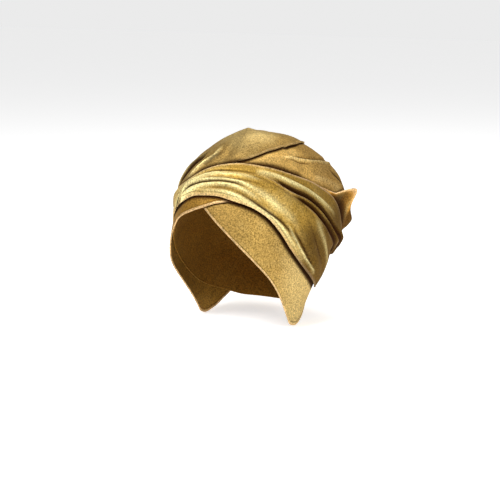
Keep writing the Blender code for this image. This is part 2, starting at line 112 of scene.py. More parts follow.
def hang_light(name, bearing, elevation, distance, size, watts):
    """Hang a square light round the wrap at a bearing and an elevation, turned to its middle."""
    b, e = np.radians(bearing), np.radians(elevation)
    way = Vector((np.sin(b) * np.cos(e), -np.cos(b) * np.cos(e), np.sin(e)))
    data = bpy.data.lights.new(name, "AREA")
    data.size = size
    data.energy = watts
    light = bpy.data.objects.new(name, data)
    light.location = LIT_POINT + way * distance
    light.rotation_mode = "QUATERNION"
    light.rotation_quaternion = (-way).to_track_quat("-Z", "Y")
    bpy.context.scene.collection.objects.link(light)


make_floor()
for light_row in LIGHTS[1:]:
    hang_light(*light_row)
world = bpy.data.worlds.new("studio")
world.use_nodes = True
backdrop = world.node_tree.nodes["Background"]
backdrop.inputs["Color"].default_value = WORLD_WHITE
ray = world.node_tree.nodes.new("ShaderNodeLightPath")
brightness = world.node_tree.nodes.new("ShaderNodeMapRange")
brightness.inputs["To Min"].default_value = WORLD_LIGHT
brightness.inputs["To Max"].default_value = WORLD_SEEN
world.node_tree.links.new(ray.outputs["Is Camera Ray"], brightness.inputs["Value"])
world.node_tree.links.new(brightness.outputs["Result"], backdrop.inputs["Strength"])
bpy.context.scene.world = world
bpy.context.scene.view_settings.view_transform = "Standard"


# Velvet. All the pieces are cut from one gold stretch velvet: a knitted ground with a short
# dense pile. The pile catches light in fine grains. Shade is painted dark into the folds and
# highlights are painted pale onto the crests and turned edges, and each piece has its own tone.
GRAIN_SCALE = 610.0         # grains of pile in a metre
CRUSH_SCALE = 34.0          # patches in a metre where the pile lies another way
VELVET_ROUGHNESS = 0.47
FOLD_ROUGHER = 0.4          # how much rougher the pile is down in a fold
GRAIN_ROUGHER = 0.1
PILE_BUMP = 0.35
PILE_HEIGHT = 0.0006
VELVET_METALLIC = 0.55
VELVET_GLOSS = 0.20
VELVET_EDGE_TINT = (0.50, 0.31, 0.10, 1.0)      # what it mirrors at a grazing angle
VELVET_SHEEN = 0.06
VELVET_SHEEN_ROUGHNESS = 0.35
VELVET_SHEEN_TINT = (1.0, 0.76, 0.36, 1.0)
# Painted highlight: the pale tone along an edge where the cloth turns
HEM_HIGHLIGHT_TONE = (0.80, 0.56, 0.30, 1.0)     # the pale edge where the cloth turns


def make_pile_and_painted_light_group():
    """Build the shared pile effect.

    Colour: the body tone, the crest tone of painted highlights and the fold tone of painted
    shade, mixed by the piece's own crest and fold marks, each darkened or lightened by grains of
    noise and by broad patches of lying pile. A hem mark brings in the pale tone of a painted
    highlight along a turned edge.
    Roughness: the velvet's own, rougher in folds and on grains.
    Height: the grains.
    """
    group = bpy.data.node_groups.new("velvet pile and painted light", "ShaderNodeTree")
    face = group.interface
    for name, kind in (("Fold tone", "NodeSocketColor"), ("Body tone", "NodeSocketColor"),
                       ("Crest tone", "NodeSocketColor"), ("Fold", "NodeSocketFloat"),
                       ("Crest", "NodeSocketFloat"), ("Hem", "NodeSocketFloat"),
                       ("Grain", "NodeSocketFloat"), ("Crush", "NodeSocketFloat")):
        face.new_socket(name, in_out="INPUT", socket_type=kind)
    for name, kind in (("Color", "NodeSocketColor"), ("Roughness", "NodeSocketFloat"),
                       ("Height", "NodeSocketFloat")):
        face.new_socket(name, in_out="OUTPUT", socket_type=kind)
    nodes, links = group.nodes, group.links
    given = nodes.new("NodeGroupInput")
    result = nodes.new("NodeGroupOutput")
    place = nodes.new("ShaderNodeTexCoord")

    def noise(scale, detail, roughness):
        node = nodes.new("ShaderNodeTexNoise")
        node.inputs["Scale"].default_value = scale
        node.inputs["Detail"].default_value = detail
        node.inputs["Roughness"].default_value = roughness
        links.new(place.outputs["Object"], node.inputs["Vector"])
        return node.outputs["Fac"]

    def reckon(kind, first, second, third=None):
        node = nodes.new("ShaderNodeMath")
        node.operation = kind
        for socket, value in zip(node.inputs, (first, second, third)):
            if isinstance(value, (int, float)):
                socket.default_value = value
            elif value is not None:
                links.new(value, socket)
        return node.outputs[0]

    def mix_tones(share, first, second):
        node = nodes.new("ShaderNodeMix")
        node.data_type = "RGBA"
        links.new(share, node.inputs["Factor"])
        for socket, value in ((node.inputs[6], first), (node.inputs[7], second)):
            if isinstance(value, tuple):
                socket.default_value = value
            else:
                links.new(value, socket)
        return node.outputs[2]

    grain = noise(GRAIN_SCALE, detail=2.0, roughness=0.65)
    crush = noise(CRUSH_SCALE, detail=3.0, roughness=0.6)
    patches = reckon("SUBTRACT", crush, 0.5)
    # Painted light: the crest mark, moved about by the crush patches, mixes in the crest tone as painted
    # highlight, the hem mark the hem tone as painted highlight, and the fold mark the fold tone as painted
    # shade
    highlight_share = reckon("MULTIPLY_ADD", patches, given.outputs["Crush"], given.outputs["Crest"])
    lit = mix_tones(highlight_share, given.outputs["Body tone"], given.outputs["Crest tone"])
    edged = mix_tones(given.outputs["Hem"], lit, HEM_HIGHLIGHT_TONE)
    sunk = mix_tones(given.outputs["Fold"], edged, given.outputs["Fold tone"])
    spark = reckon("MULTIPLY_ADD", reckon("SUBTRACT", grain, 0.5), given.outputs["Grain"], 1.0)
    shade = nodes.new("ShaderNodeVectorMath")
    shade.operation = "SCALE"
    links.new(sunk, shade.inputs[0])
    links.new(spark, shade.inputs["Scale"])
    links.new(shade.outputs[0], result.inputs["Color"])
    rough = reckon("MULTIPLY_ADD", given.outputs["Fold"], FOLD_ROUGHER, VELVET_ROUGHNESS)
    links.new(reckon("MULTIPLY_ADD", grain, GRAIN_ROUGHER, rough), result.inputs["Roughness"])
    links.new(grain, result.inputs["Height"])
    return group


pile = make_pile_and_painted_light_group()


def velvet(name, body, crest, fold, grain=2.6, crush=0.6):
    """Make a piece's velvet from the shared pile and its own three tones."""
    material = bpy.data.materials.new(name)
    material.use_nodes = True
    nodes, links = material.node_tree.nodes, material.node_tree.links
    shader = nodes["Principled BSDF"]
    shader.inputs["Metallic"].default_value = VELVET_METALLIC
    shader.inputs["Specular IOR Level"].default_value = VELVET_GLOSS
    shader.inputs["Specular Tint"].default_value = VELVET_EDGE_TINT
    shader.inputs["Sheen Weight"].default_value = VELVET_SHEEN
    shader.inputs["Sheen Roughness"].default_value = VELVET_SHEEN_ROUGHNESS
    shader.inputs["Sheen Tint"].default_value = VELVET_SHEEN_TINT
    effect = nodes.new("ShaderNodeGroup")
    effect.node_tree = pile
    # The crest tone colours painted highlights and the fold tone painted shade; the crest and hem marks
    # paint highlights, the fold mark paints shade
    for socket, value in (("Fold tone", fold), ("Body tone", body), ("Crest tone", crest)):
        effect.inputs[socket].default_value = (*value, 1.0)
    effect.inputs["Grain"].default_value = grain
    effect.inputs["Crush"].default_value = crush
    for mark, socket in (("fold", "Fold"), ("crest", "Crest"), ("hem", "Hem")):
        read = nodes.new("ShaderNodeAttribute")
        read.attribute_name = mark
        links.new(read.outputs["Fac"], effect.inputs[socket])
    links.new(effect.outputs["Color"], shader.inputs["Base Color"])
    links.new(effect.outputs["Roughness"], shader.inputs["Roughness"])
    bump = nodes.new("ShaderNodeBump")
    bump.inputs["Strength"].default_value = PILE_BUMP
    bump.inputs["Distance"].default_value = PILE_HEIGHT
    links.new(effect.outputs["Height"], bump.inputs["Height"])
    links.new(bump.outputs["Normal"], shader.inputs["Normal"])
    return material


# Cap. The soft close-fitting cap under everything: one stretched layer with a turned hem,
# open at the face and the neck. Only its edge shows, at the nape.
HEAD_WIDTH = 0.145
HEAD_LENGTH = 0.186
CROWN_HEIGHT = 0.095        # from the widest level to the top
HEAD_FULLNESS = 2.3         # 2 would be a plain ellipsoid
NECK_WIDTH = 0.112
NECK_LENGTH = 0.096
NECK_DEPTH = 0.085          # drop from the widest level for each radian of latitude
CLOTH = 0.0012
CAP_LIFT = 0.0005           # ease between the head and the cap
HEM_ROUND = 0.0010          # half the thickness of a turned hem
HEM_STEPS = 5               # rows of points round a turned hem
DOME_TOP = 89.0             # latitude of the last row under the point that closes a dome
CAP_COLUMNS = 240
CAP_ROWS = 44
CAP_TONES = ((0.29, 0.145, 0.024), (0.52, 0.32, 0.085), (0.060, 0.020, 0.004))
CAP_EDGE = (
    ("bearing", "edge"),
    (-180, -43), (-145, -42), (-115, -36), (-90, -28), (-76, -19), (-67, -10), (-56, 2),
    (-45, 14), (-30, 29), (-14, 44), (0, 52), (14, 44), (30, 29), (45, 14), (56, 2),
    (67, -10), (76, -19), (90, -28), (115, -36), (145, -42),
)


def ease(t):
    """Rise smoothly from 0 to 1: 3 t squared less 2 t cubed."""
    t = np.clip(t, 0, 1)
    return t * t * (3 - 2 * t)


def smooth_curve(x, nodes, values):
    """Follow values at the nodes with a smooth curve that doesn't overshoot them.

    The slope at each node is the harmonic mean of the slopes beside it, or zero at a crest.
    """
    step = np.diff(nodes)
    slope = np.diff(values, axis=-1) / step
    before, after = slope[..., :-1], slope[..., 1:]
    same = before * after > 0
    tangent = np.zeros(values.shape)
    tangent[..., 1:-1] = np.where(same, 2 * before * after / np.where(same, before + after, 1), 0)
    tangent[..., 0] = slope[..., 0]
    tangent[..., -1] = slope[..., -1]
    x = np.clip(x, nodes[0], nodes[-1])
    cell = np.clip(np.searchsorted(nodes, x, side="right") - 1, 0, len(step) - 1)
    t = (x - nodes[cell]) / step[cell]

    def pick(row, at):
        return row[at] if row.ndim == 1 else np.take_along_axis(row, at, -1)

    start, end = pick(values, cell), pick(values, cell + 1)
    leave, arrive = pick(tangent, cell) * step[cell], pick(tangent, cell + 1) * step[cell]
    return start + (end - start) * ease(t) + leave * t * (1 - t) ** 2 - arrive * t * t * (1 - t)


def column(table, name):
    """Return one named column of a table as an array."""
    return np.array([row[table[0].index(name)] for row in table[1:]], float)


def along(bearing, table, name):
    """Read a table's column at bearings, closing the curve round the head where it is a ring."""
    nodes, values = column(table, "bearing"), column(table, name)
    bearing = np.asarray(bearing, float)
    if nodes[0] == -180:
        nodes = np.concatenate([nodes[-2:] - 360, nodes, nodes[:2] + 360])
        values = np.concatenate([values[-2:], values, values[:2]])
        bearing = (bearing + 180) % 360 - 180
    return smooth_curve(bearing, nodes, values)


def on_head(bearing, latitude, lift):
    """Return the point at a height above the head, at a bearing and a latitude.

    Above the widest level the head is a full ellipsoid, the sum of |x/a|^n + |y/b|^n + |z/c|^n
    being 1. Below it, the widest level's outline eases into the neck's ellipse as it drops.
    """
    bearing, latitude, lift = np.broadcast_arrays(np.radians(bearing), np.radians(latitude), lift)
    rise, drop = np.maximum(latitude, 0), np.maximum(-latitude, 0)
    side = np.sin(bearing) * np.cos(rise)
    ahead = -np.cos(bearing) * np.cos(rise)
    up = np.sin(rise)
    radius = (np.abs(side / (HEAD_WIDTH / 2)) ** HEAD_FULLNESS
              + np.abs(ahead / (HEAD_LENGTH / 2)) ** HEAD_FULLNESS
              + (up / CROWN_HEIGHT) ** HEAD_FULLNESS) ** (-1 / HEAD_FULLNESS)
    neck = 1 / np.hypot(np.sin(bearing) / (NECK_WIDTH / 2), np.cos(bearing) / (NECK_LENGTH / 2))
    reach = radius + (neck - radius) * ease(drop) + lift
    return np.stack([side * reach, ahead * reach,
                     up * reach - NECK_DEPTH * drop - CROWN_HEIGHT], axis=-1)


def unit(vectors):
    """Scale vectors to length 1."""
    return vectors / np.maximum(np.linalg.norm(vectors, axis=-1, keepdims=True), 1e-12)


def sew(name, inner, outer, material, marks, ring=False, domed=False):
    """Make a closed sheet of cloth from the grids of its inner and outer faces.

    Rows run upward and columns round. Each free edge row is closed by a half circle of the
    hem's radius about the middle of the cloth, which makes it a turned edge. So a column is a
    loop: up the outer face, round the top hem, down the inner face and round the low hem. A
    ring has no side edges, and a domed piece closes to a point on top. Marks are the fold,
    crest and hem values of the outer face, and the inner face takes them too.
    """
    rows, columns = outer.shape[:2]
    around = np.linspace(0, np.pi, HEM_STEPS + 2)[1:-1]

    def edge_round(face_out, face_in, next_out):
        middle = (face_out + face_in) / 2
        out = unit(face_out - face_in)
        away = unit(face_out - next_out)
        away = unit(away - out * np.sum(away * out, axis=-1, keepdims=True))
        radius = np.maximum(np.linalg.norm(face_out - face_in, axis=-1, keepdims=True) / 2, HEM_ROUND)
        return [middle + radius * (np.cos(a) * out + np.sin(a) * away) for a in around]

    low_turn = edge_round(outer[0], inner[0], outer[1])
    loop = [*outer]
    mark_rows = list(range(rows))
    if not domed:
        loop += edge_round(outer[-1], inner[-1], outer[-2])
        mark_rows += [rows - 1] * HEM_STEPS
    loop += [*inner[::-1]] + low_turn[::-1]
    mark_rows += list(range(rows))[::-1] + [0] * HEM_STEPS
    grid = np.stack(loop)
    count = len(grid)
    number = np.arange(count * columns).reshape(count, columns)
    down = np.roll(number, -1, axis=0)
    if domed:
        keep = np.ones(count, bool)
        keep[rows - 1] = False
        number_from, number_to = number[keep], down[keep]
    else:
        number_from, number_to = number, down
    if ring:
        right_from, right_to = np.roll(number_from, -1, axis=1), np.roll(number_to, -1, axis=1)
        quads = np.stack([number_from, right_from, right_to, number_to], -1).reshape(-1, 4)
    else:
        quads = np.stack([number_from[:, :-1], number_from[:, 1:], number_to[:, 1:],
                          number_to[:, :-1]], -1).reshape(-1, 4)
    vertices = grid.reshape(-1, 3)
    faces = quads.tolist()

    # The marks of each row, and the fans that close both faces of a dome
    values = {mark: grid_of[mark_rows].reshape(-1) for mark, grid_of in marks.items()}
    if domed:
        top = [outer[-1].mean(axis=0), inner[-1].mean(axis=0)]
        top_out, top_in = len(vertices), len(vertices) + 1
        vertices = np.concatenate([vertices, top])
        out_row, in_row = number[rows - 1], number[rows]
        faces += np.stack([out_row, np.roll(out_row, -1), np.full(columns, top_out)], -1).tolist()
        faces += np.stack([np.roll(in_row, -1), in_row, np.full(columns, top_in)], -1).tolist()
        values = {mark: np.concatenate([value, [grid_of[-1].mean()] * 2])
                  for (mark, value), grid_of in zip(values.items(), marks.values())}

    # The side edges: a strip across the loop at each end
    if not ring:
        half = count // 2
        for end, flip in ((0, False), (columns - 1, True)):
            loop_of = np.roll(number[:, end], HEM_STEPS // 2 + 1)
            back = np.roll(loop_of[::-1], 1)
            strip = np.stack([loop_of[1:half - 1], loop_of[2:half],
                              back[2:half], back[1:half - 1]], -1).tolist()
            strip += [[loop_of[0], loop_of[1], back[1]],
                      [loop_of[half - 1], loop_of[half], back[half - 1]]]
            faces += [corner[::-1] if flip else corner for corner in strip]

    mesh = bpy.data.meshes.new(name)
    mesh.from_pydata(vertices.tolist(), [], faces)
    for mark, value in values.items():
        mesh.attributes.new(mark, "FLOAT", "POINT").data.foreach_set("value", value.astype(np.float32))
    mesh.shade_smooth()
    mesh.materials.append(material)
    piece = bpy.data.objects.new(name, mesh)
    bpy.context.scene.collection.objects.link(piece)
    return piece


def bands(marks, counts):
    """Return rows of latitudes between the marked ones, with a count of cells in each band."""
    rows = [marks[0][None]]
    for low, high, count in zip(marks[:-1], marks[1:], counts):
        rows.append(low + (high - low) * (np.arange(1, count + 1) / count)[:, None])
    return np.concatenate(rows)


def make_cap():
    """Shape the cap: the head itself, eased out, from its edge to the top of the dome."""
    bearing = np.linspace(-180, 180, CAP_COLUMNS, endpoint=False)
    edge = along(bearing, CAP_EDGE, "edge")
    latitude = bands([edge, np.full_like(edge, DOME_TOP)], [CAP_ROWS])
    inner = on_head(bearing, latitude, CAP_LIFT)
    outer = on_head(bearing, latitude, CAP_LIFT + CLOTH)
    blank = np.zeros(latitude.shape)
    piece = sew("cap_cloth", inner, outer, velvet("cap velvet", *CAP_TONES),
                {"fold": blank, "crest": blank, "hem": blank}, ring=True, domed=True)
    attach(piece, "root")
    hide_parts("cap")


make_cap()


# Front panels. Two bands frame the face: each is cut with a slanting edge, turned in and
# stitched, and lies flat on the cap. The right one crosses over the left on the forehead.
LAYER_GAP = 0.0010
CONTACT = CLOTH + LAYER_GAP
PANEL_LIFT = CAP_LIFT + CONTACT
CROSSED_LIFT = PANEL_LIFT + CONTACT
PANEL_TUCK = 9.0            # degrees that a panel runs up under the winding
CROSSING_STARTS = -34.0     # bearing where the right panel starts to rise over the left one
CROSSING_TAKES = 14.0
LEFT_PANEL_EDGE = (
    ("bearing", "edge"),
    (-16, 42), (-2.5, 36), (14, 24.5), (25.5, 14.5), (35, 5), (45.5, -7), (55.5, -19.5),
    (67, -33.5), (76, -44), (82, -50), (91, -51.5), (102, -49), (118, -42.5), (146, -29),
)
RIGHT_PANEL_EDGE = (
    ("bearing", "edge"),
    (-146, -29), (-120, -43), (-104, -50), (-92, -52), (-82, -50), (-76, -44), (-67, -33.5),
    (-56, -19), (-48, -7), (-42, 4), (-38, 12), (-32, 20), (-24, 27), (-13, 32), (-2, 36),
    (7.5, 39), (18.5, 40.5), (30, 40), (37, 38.5),
)
LEFT_PANEL_TONES = ((0.38, 0.24, 0.064), (0.69, 0.54, 0.235), (0.036, 0.011, 0.003))
RIGHT_PANEL_TONES = ((0.30, 0.16, 0.028), (0.54, 0.34, 0.10), (0.036, 0.011, 0.003))
PANEL_COLUMNS = 300
PANEL_ROWS = (12, 44)
PANEL_TURNED = 0.0030       # width of the turned edge
TURNED_DEGREES = 3.4        # height of the band of close rows over it
TURNED_STEP = 0.0004        # how proud it stands
STITCH_WIDTH = 0.0004       # the line that its stitching draws in
STITCH_DEPTH = 0.0003
LEAST_PANEL = 3.0           # least height of a panel, in degrees
# The dark line beside the crossed panel's edge is painted shadow
HEM_DARK = 0.0017           # reach of the dark line beside the crossed panel's edge

# The lower winding's path is needed here too, because the panels run up under it. It gives
# the latitudes of its lower edge and its upper rim.
WINDING_PATH = (
    ("bearing", "low", "high"),
    (-180, -24, 4), (-150, -22, 8), (-120, -17, 14), (-100, -11, 18), (-80, 0, 25),
    (-65, 13, 31), (-50, 25, 38), (-42, 30, 41), (-26, 37.5, 47), (-12, 42.5, 56),
    (5, 43.5, 61), (23, 40.5, 62.5), (34, 38, 62), (46, 32.5, 61), (56, 23, 60),
    (65, 11, 58.7), (78, -3, 56), (101, -19, 49.3), (113, -25, 42.8), (124, -27.5, 34.5),
    (132, -27, 26.5), (138, -26.5, 17), (143, -26, 8.5), (150, -25.5, 3.5), (162, -25, 3),
)


def beside(points, line, lift, samples=16):
    """Return how far points lie from a line laid on the head, and how far along it.

    The line is a smooth path through (bearing, latitude, ...) rows, with samples between each
    two. The distance is measured square to it at its nearest sample, and is positive on the
    upper side of a line that runs towards the wearer's left. Past the line's ends the distance
    is the straight one.
    """
    stops = np.array([row[:2] for row in line], float)
    way = np.linspace(0, len(stops) - 1, samples * (len(stops) - 1) + 1)
    bearing = smooth_curve(way, np.arange(len(stops)), stops[:, 0])
    latitude = smooth_curve(way, np.arange(len(stops)), stops[:, 1])
    path = on_head(bearing, latitude, lift)
    tangent = unit(np.gradient(path, axis=0))
    outward = unit(on_head(bearing, latitude, lift + 0.01) - path)
    upward = unit(np.cross(outward, tangent))
    flat = points.reshape(-1, 3)
    near = np.argmin((path ** 2).sum(1) - 2 * flat @ path.T, axis=1)
    gap = flat - path[near]
    distance = (gap * upward[near]).sum(1)
    forward = (gap * tangent[near]).sum(1)
    past = np.where((near == 0) | (near == len(path) - 1), np.abs(forward), 0)
    distance = np.sign(distance) * np.hypot(distance, past)
    return distance.reshape(points.shape[:-1]), way[near].reshape(points.shape[:-1])


def from_edge(points, table, name, lift):
    """Return how far points lie above the edge that a table's column gives, below it negative."""
    line = np.stack([column(table, "bearing"), column(table, name)], -1)
    return beside(points, line, lift)[0]


def close_by(distance, reach):
    """Return a mark that is 1 near an edge and ends at its reach, exp(-(d/reach)^4), on both sides."""
    return np.exp(-(distance / reach) ** 4)


def crumple(points, scale, depth, seed, count=5):
    """Return soft waves in the cloth: the mean of crossing sine waves in fixed random directions."""
    random = np.random.default_rng(seed)
    waves = np.zeros(points.shape[:-1])
    for _ in range(count):
        way = unit(random.normal(size=3)) * scale * random.uniform(0.7, 1.4)
        waves += np.sin(points @ way * 2 * np.pi + random.uniform(0, 2 * np.pi))
    return depth * waves / count


def run_up(points):
    """Return how far each row of points lies from the lowest one, measured up the cloth."""
    steps = np.linalg.norm(np.diff(points, axis=0), axis=-1)
    return np.concatenate([np.zeros((1, steps.shape[1])), np.cumsum(steps, axis=0)])


def make_panel(name, table, crossed_lift, tones, node, shade_reach, highlight_share,
               under_hem=False):
    """Shape a panel: the cap's surface one layer out, with a turned lower edge.

    The turned edge is a low step, ease of the distance from the edge over its width, with a
    fine groove exp(-(d/width)^2) at its stitching. Painted shadow lies where the panel goes
    under the winding. If it lies under the other panel, painted shadow lies beside that panel's
    edge too, and painted shade darkens it towards the crossing. A painted highlight makes it
    paler towards the ear, and another lies along its turned edge.
    """
    columns = np.linspace(table[1][0], table[-1][0], PANEL_COLUMNS)
    low = along(columns, table, "edge")
    high = along(columns, WINDING_PATH, "low") + PANEL_TUCK
    high = np.maximum(high, low + LEAST_PANEL)
    turned = np.minimum(low + TURNED_DEGREES, (low + high) / 2)
    latitude = bands([low, turned, high], PANEL_ROWS)
    crossing = ease((columns - CROSSING_STARTS) / CROSSING_TAKES)
    lift = PANEL_LIFT + (crossed_lift - PANEL_LIFT) * crossing
    points = on_head(columns, latitude, lift)
    reach = run_up(points)
    turn_step = TURNED_STEP * (1 - ease((reach - PANEL_TURNED + 0.0005) / 0.001))
    stitch = np.exp(-((reach - PANEL_TURNED) / STITCH_WIDTH) ** 2)
    waves = crumple(points, scale=22, depth=0.00035, seed=7) * ease(reach / 0.02)
    outer_lift = lift + CLOTH + turn_step + waves - STITCH_DEPTH * stitch
    # Painted shadow under the winding's lower edge and beside the crossed panel's edge, and painted shade
    # towards the crossing
    shadow = close_by(from_edge(points, WINDING_PATH, "low", PANEL_LIFT), shade_reach)
    if under_hem:
        from_hem = from_edge(points, RIGHT_PANEL_EDGE, "edge", PANEL_LIFT)
        shadow = np.maximum(shadow, 0.9 * close_by(from_hem, HEM_DARK))
        shadow = np.maximum(shadow, 0.26 * ease((36 - columns) / 26))
    # Painted highlights along the turned edge and towards the ear
    turned_edge = 1 - ease((reach - 0.0010) / 0.0012)
    pale = highlight_share * ease((columns - 40) / 55)
    piece = sew(name, on_head(columns, latitude, lift + waves * 0.5),
                on_head(columns, latitude, outer_lift), velvet(name + " velvet", *tones, grain=2.9),
                {"fold": np.maximum(0.6 * stitch, shadow), "crest": pale + np.zeros_like(reach),
                 "hem": 0.55 * turned_edge})
    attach(piece, "root")
    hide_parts(node)


make_panel("front_panel_left_cloth", LEFT_PANEL_EDGE, PANEL_LIFT, LEFT_PANEL_TONES,
           "front_panel_left",
           shade_reach=0.0042, highlight_share=0.60, under_hem=True)
make_panel("front_panel_right_cloth", RIGHT_PANEL_EDGE, CROSSED_LIFT, RIGHT_PANEL_TONES,
           "front_panel_right",
           shade_reach=0.0040, highlight_share=0.0)


# Lower winding. The long end of the cloth, gathered narrow at the right temple, fans out over
# the forehead in soft pleats and runs down over the left ear to the nape and round the back.
WINDING_LIFT = CROSSED_LIFT + CONTACT
WINDING_BULK = 0.020        # the height that the stands below are shares of
FOLD_DEPTH = 0.007          # how far the deep folds draw in the rim
FOLD_SHARE = 0.045          # how wide they are there, as a share of the winding's width
WINDING_COLUMNS = 420
WINDING_ROWS = (4, 30, 9, 6, 9, 14)     # the two bands of 9 rows lie over the deep laps
LAP_BAND = 0.02             # half the width of such a band, as a share of the winding's
WINDING_SHARES = (0.0, 0.15, 0.45, 0.6, 1.0)
WINDING_STAND = (
    ("bearing", "edge", "first", "second", "third", "rim"),
    (-180, -0.04, 0.16, 0.40, 0.80, 0.92), (-150, -0.08, 0.18, 0.42, 0.74, 0.86),
    (-120, -0.10, 0.18, 0.40, 0.58, 0.68), (-85, -0.11, 0.08, 0.24, 0.34, 0.42),
    (-60, -0.11, -0.04, 0.03, 0.11, 0.20), (-45, -0.10, -0.03, 0.06, 0.16, 0.29),
    (-20, 0, 0.20, 0.30, 0.40, 0.48), (0, 0, 0.22, 0.34, 0.43, 0.58),
    (45, 0, 0.22, 0.38, 0.48, 0.62), (90, 0, 0.22, 0.36, 0.50, 0.62),
    (112, -0.03, 0.12, 0.24, 0.52, 0.64), (128, -0.08, 0.04, 0.08, 0.74, 0.76),
    (134, -0.08, 0.03, 0.05, 0.62, 0.80), (141, -0.08, 0.03, 0.05, 0.36, 0.82),
    (148, -0.08, 0.03, 0.08, 0.46, 0.98), (157, -0.06, 0.06, 0.20, 0.60, 0.98),
)

# The two deepest folds run all the way round: each lies at a share of the winding's width,
# and has a depth from 0 to 1. The mesh's rows follow them.
DEEP_FOLDS = (
    (
        ("bearing", "share", "depth"),
        (-180, 0.5, 0.8), (-90, 0.55, 0.6), (-45, 0.66, 0.3), (10, 0.70, 0.15), (35, 0.735, 0.1),
        (60, 0.745, 0.1), (70, 0.748, 0.25), (79, 0.745, 0.6), (84, 0.737, 0.85), (90, 0.72, 1.0),
        (95, 0.692, 1.0), (100, 0.66, 1.0), (106, 0.62, 1.0), (110, 0.593, 1.0), (116, 0.566, 0.95),
        (123, 0.538, 0.85), (129, 0.521, 0.8), (145, 0.5, 0.6),
    ),
    (
        ("bearing", "share", "depth"),
        (-180, 0.75, 0.6), (-90, 0.78, 0.5), (-45, 0.8, 0.3), (-14, 0.81, 0.05), (12, 0.81, 0.05),
        (40, 0.806, 0.1), (56, 0.806, 0.3), (63, 0.805, 0.6), (71, 0.808, 0.9), (82, 0.808, 1.0),
        (88, 0.80, 1.0), (93, 0.785, 1.0), (99, 0.763, 1.0), (103, 0.736, 1.0), (107, 0.708, 1.0),
        (110, 0.683, 0.9), (113, 0.66, 0.9), (117, 0.64, 0.8), (120, 0.617, 0.8), (125, 0.591, 0.8),
        (130, 0.573, 0.7), (145, 0.56, 0.6),
    ),
)


def winding_share(bearing, latitude):
    """Return how far a latitude lies across the lower winding, from its lower edge to its rim."""
    low, high = along(bearing, WINDING_PATH, "low"), along(bearing, WINDING_PATH, "high")
    return np.clip((latitude - low) / (high - low), 0, 1)


def across(bearing, way, shares, table, first=None, last=None):
    """Read a table of heights at shares of the way across, between its bearings' rows."""
    bearing, way = np.broadcast_arrays(bearing, way)
    columns = [along(bearing, table, name) for name in table[0][1:]]
    columns = [column for column in (first, *columns, last) if column is not None]
    heights = np.stack(np.broadcast_arrays(*columns), -1)
    return smooth_curve(way[..., None], np.array(shares), heights)[..., 0]


def winding_stand(bearing, latitude):
    """Height of the lower winding's inner face above the head, before its folds."""
    share = winding_share(bearing, latitude)
    return WINDING_LIFT + WINDING_BULK * across(bearing, share, WINDING_SHARES, WINDING_STAND)


def rim_lift(bearing):
    """Height of the lower winding's inner face at its upper rim."""
    high = along(bearing, WINDING_PATH, "high")
    lift = winding_stand(bearing, high)
    for deep in DEEP_FOLDS:
        share = 1 - along(bearing, deep, "share")
        lift = lift - FOLD_DEPTH * along(bearing, deep, "depth") * np.exp(-(share / FOLD_SHARE) ** 2)
    return np.maximum(lift, WINDING_LIFT - CONTACT)


# How far creases are darkened by painted shade
CREASE_DARK = 0.7           # how much of a crease's width looks dark
DARK_DEPTH = 0.002          # a crease this deep is fully dark


def lay_folds(bearing, latitude, lift, folds):
    """Return the height that folds add to a piece, and their fold and crest marks.

    A fold's line is a row of points, each a bearing, a latitude and a strength. A crease is a
    valley and a ridge a hill, both exp(-(d/width)^2) of the distance d; a crease's fold mark
    paints shade down its middle and a ridge's crest mark paints a highlight along its top. A lap
    is a step: its proud side rises over its width and falls away over ten widths, and its other
    side starts in a groove, with painted shade in the groove and a painted highlight on the
    proud side. A shade only paints shade: it marks the cloth dark, as the floor of a fold too
    deep to be seen into.
    """
    points = on_head(bearing, latitude, lift)
    rise = np.zeros(points.shape[:-1])
    fold, crest = np.zeros_like(rise), np.zeros_like(rise)
    for kind, depth, width, line in folds[1:]:
        d, way = beside(points, line, lift)
        strength = smooth_curve(way, np.arange(len(line)), np.array([row[2] for row in line], float))
        if kind == "crease":
            shape = np.exp(-(d / width) ** 2)
            rise -= depth * strength * shape
            # Painted shade down the crease's middle
            dark = np.exp(-(d / width / CREASE_DARK) ** 2) * min(depth / DARK_DEPTH, 1)
            fold = np.maximum(fold, strength * dark)
        elif kind == "ridge":
            shape = np.exp(-(d / width) ** 2)
            rise += depth * strength * shape
            # Painted highlight along the ridge's top
            crest = np.maximum(crest, strength * shape)
        elif kind == "shade":
            fold = np.maximum(fold, strength * close_by(d, width))
        else:
            step = ease((d + width) / (2 * width)) * np.exp(-np.maximum(d - width, 0) / (10 * width))
            groove = ease((width - d) / (2 * width)) * np.exp(-np.maximum(-d - width, 0) / (2.5 * width))
            rise += depth * strength * (0.45 * step - 0.55 * groove)
            # Painted shade in the groove below the step, painted highlight on its proud side
            fold = np.maximum(fold, strength * np.exp(-((d + 1.6 * width) / (1.5 * width)) ** 2))
            crest = np.maximum(crest, strength * np.exp(-((d - 1.8 * width) / (1.2 * width)) ** 2))
    return rise, fold, crest


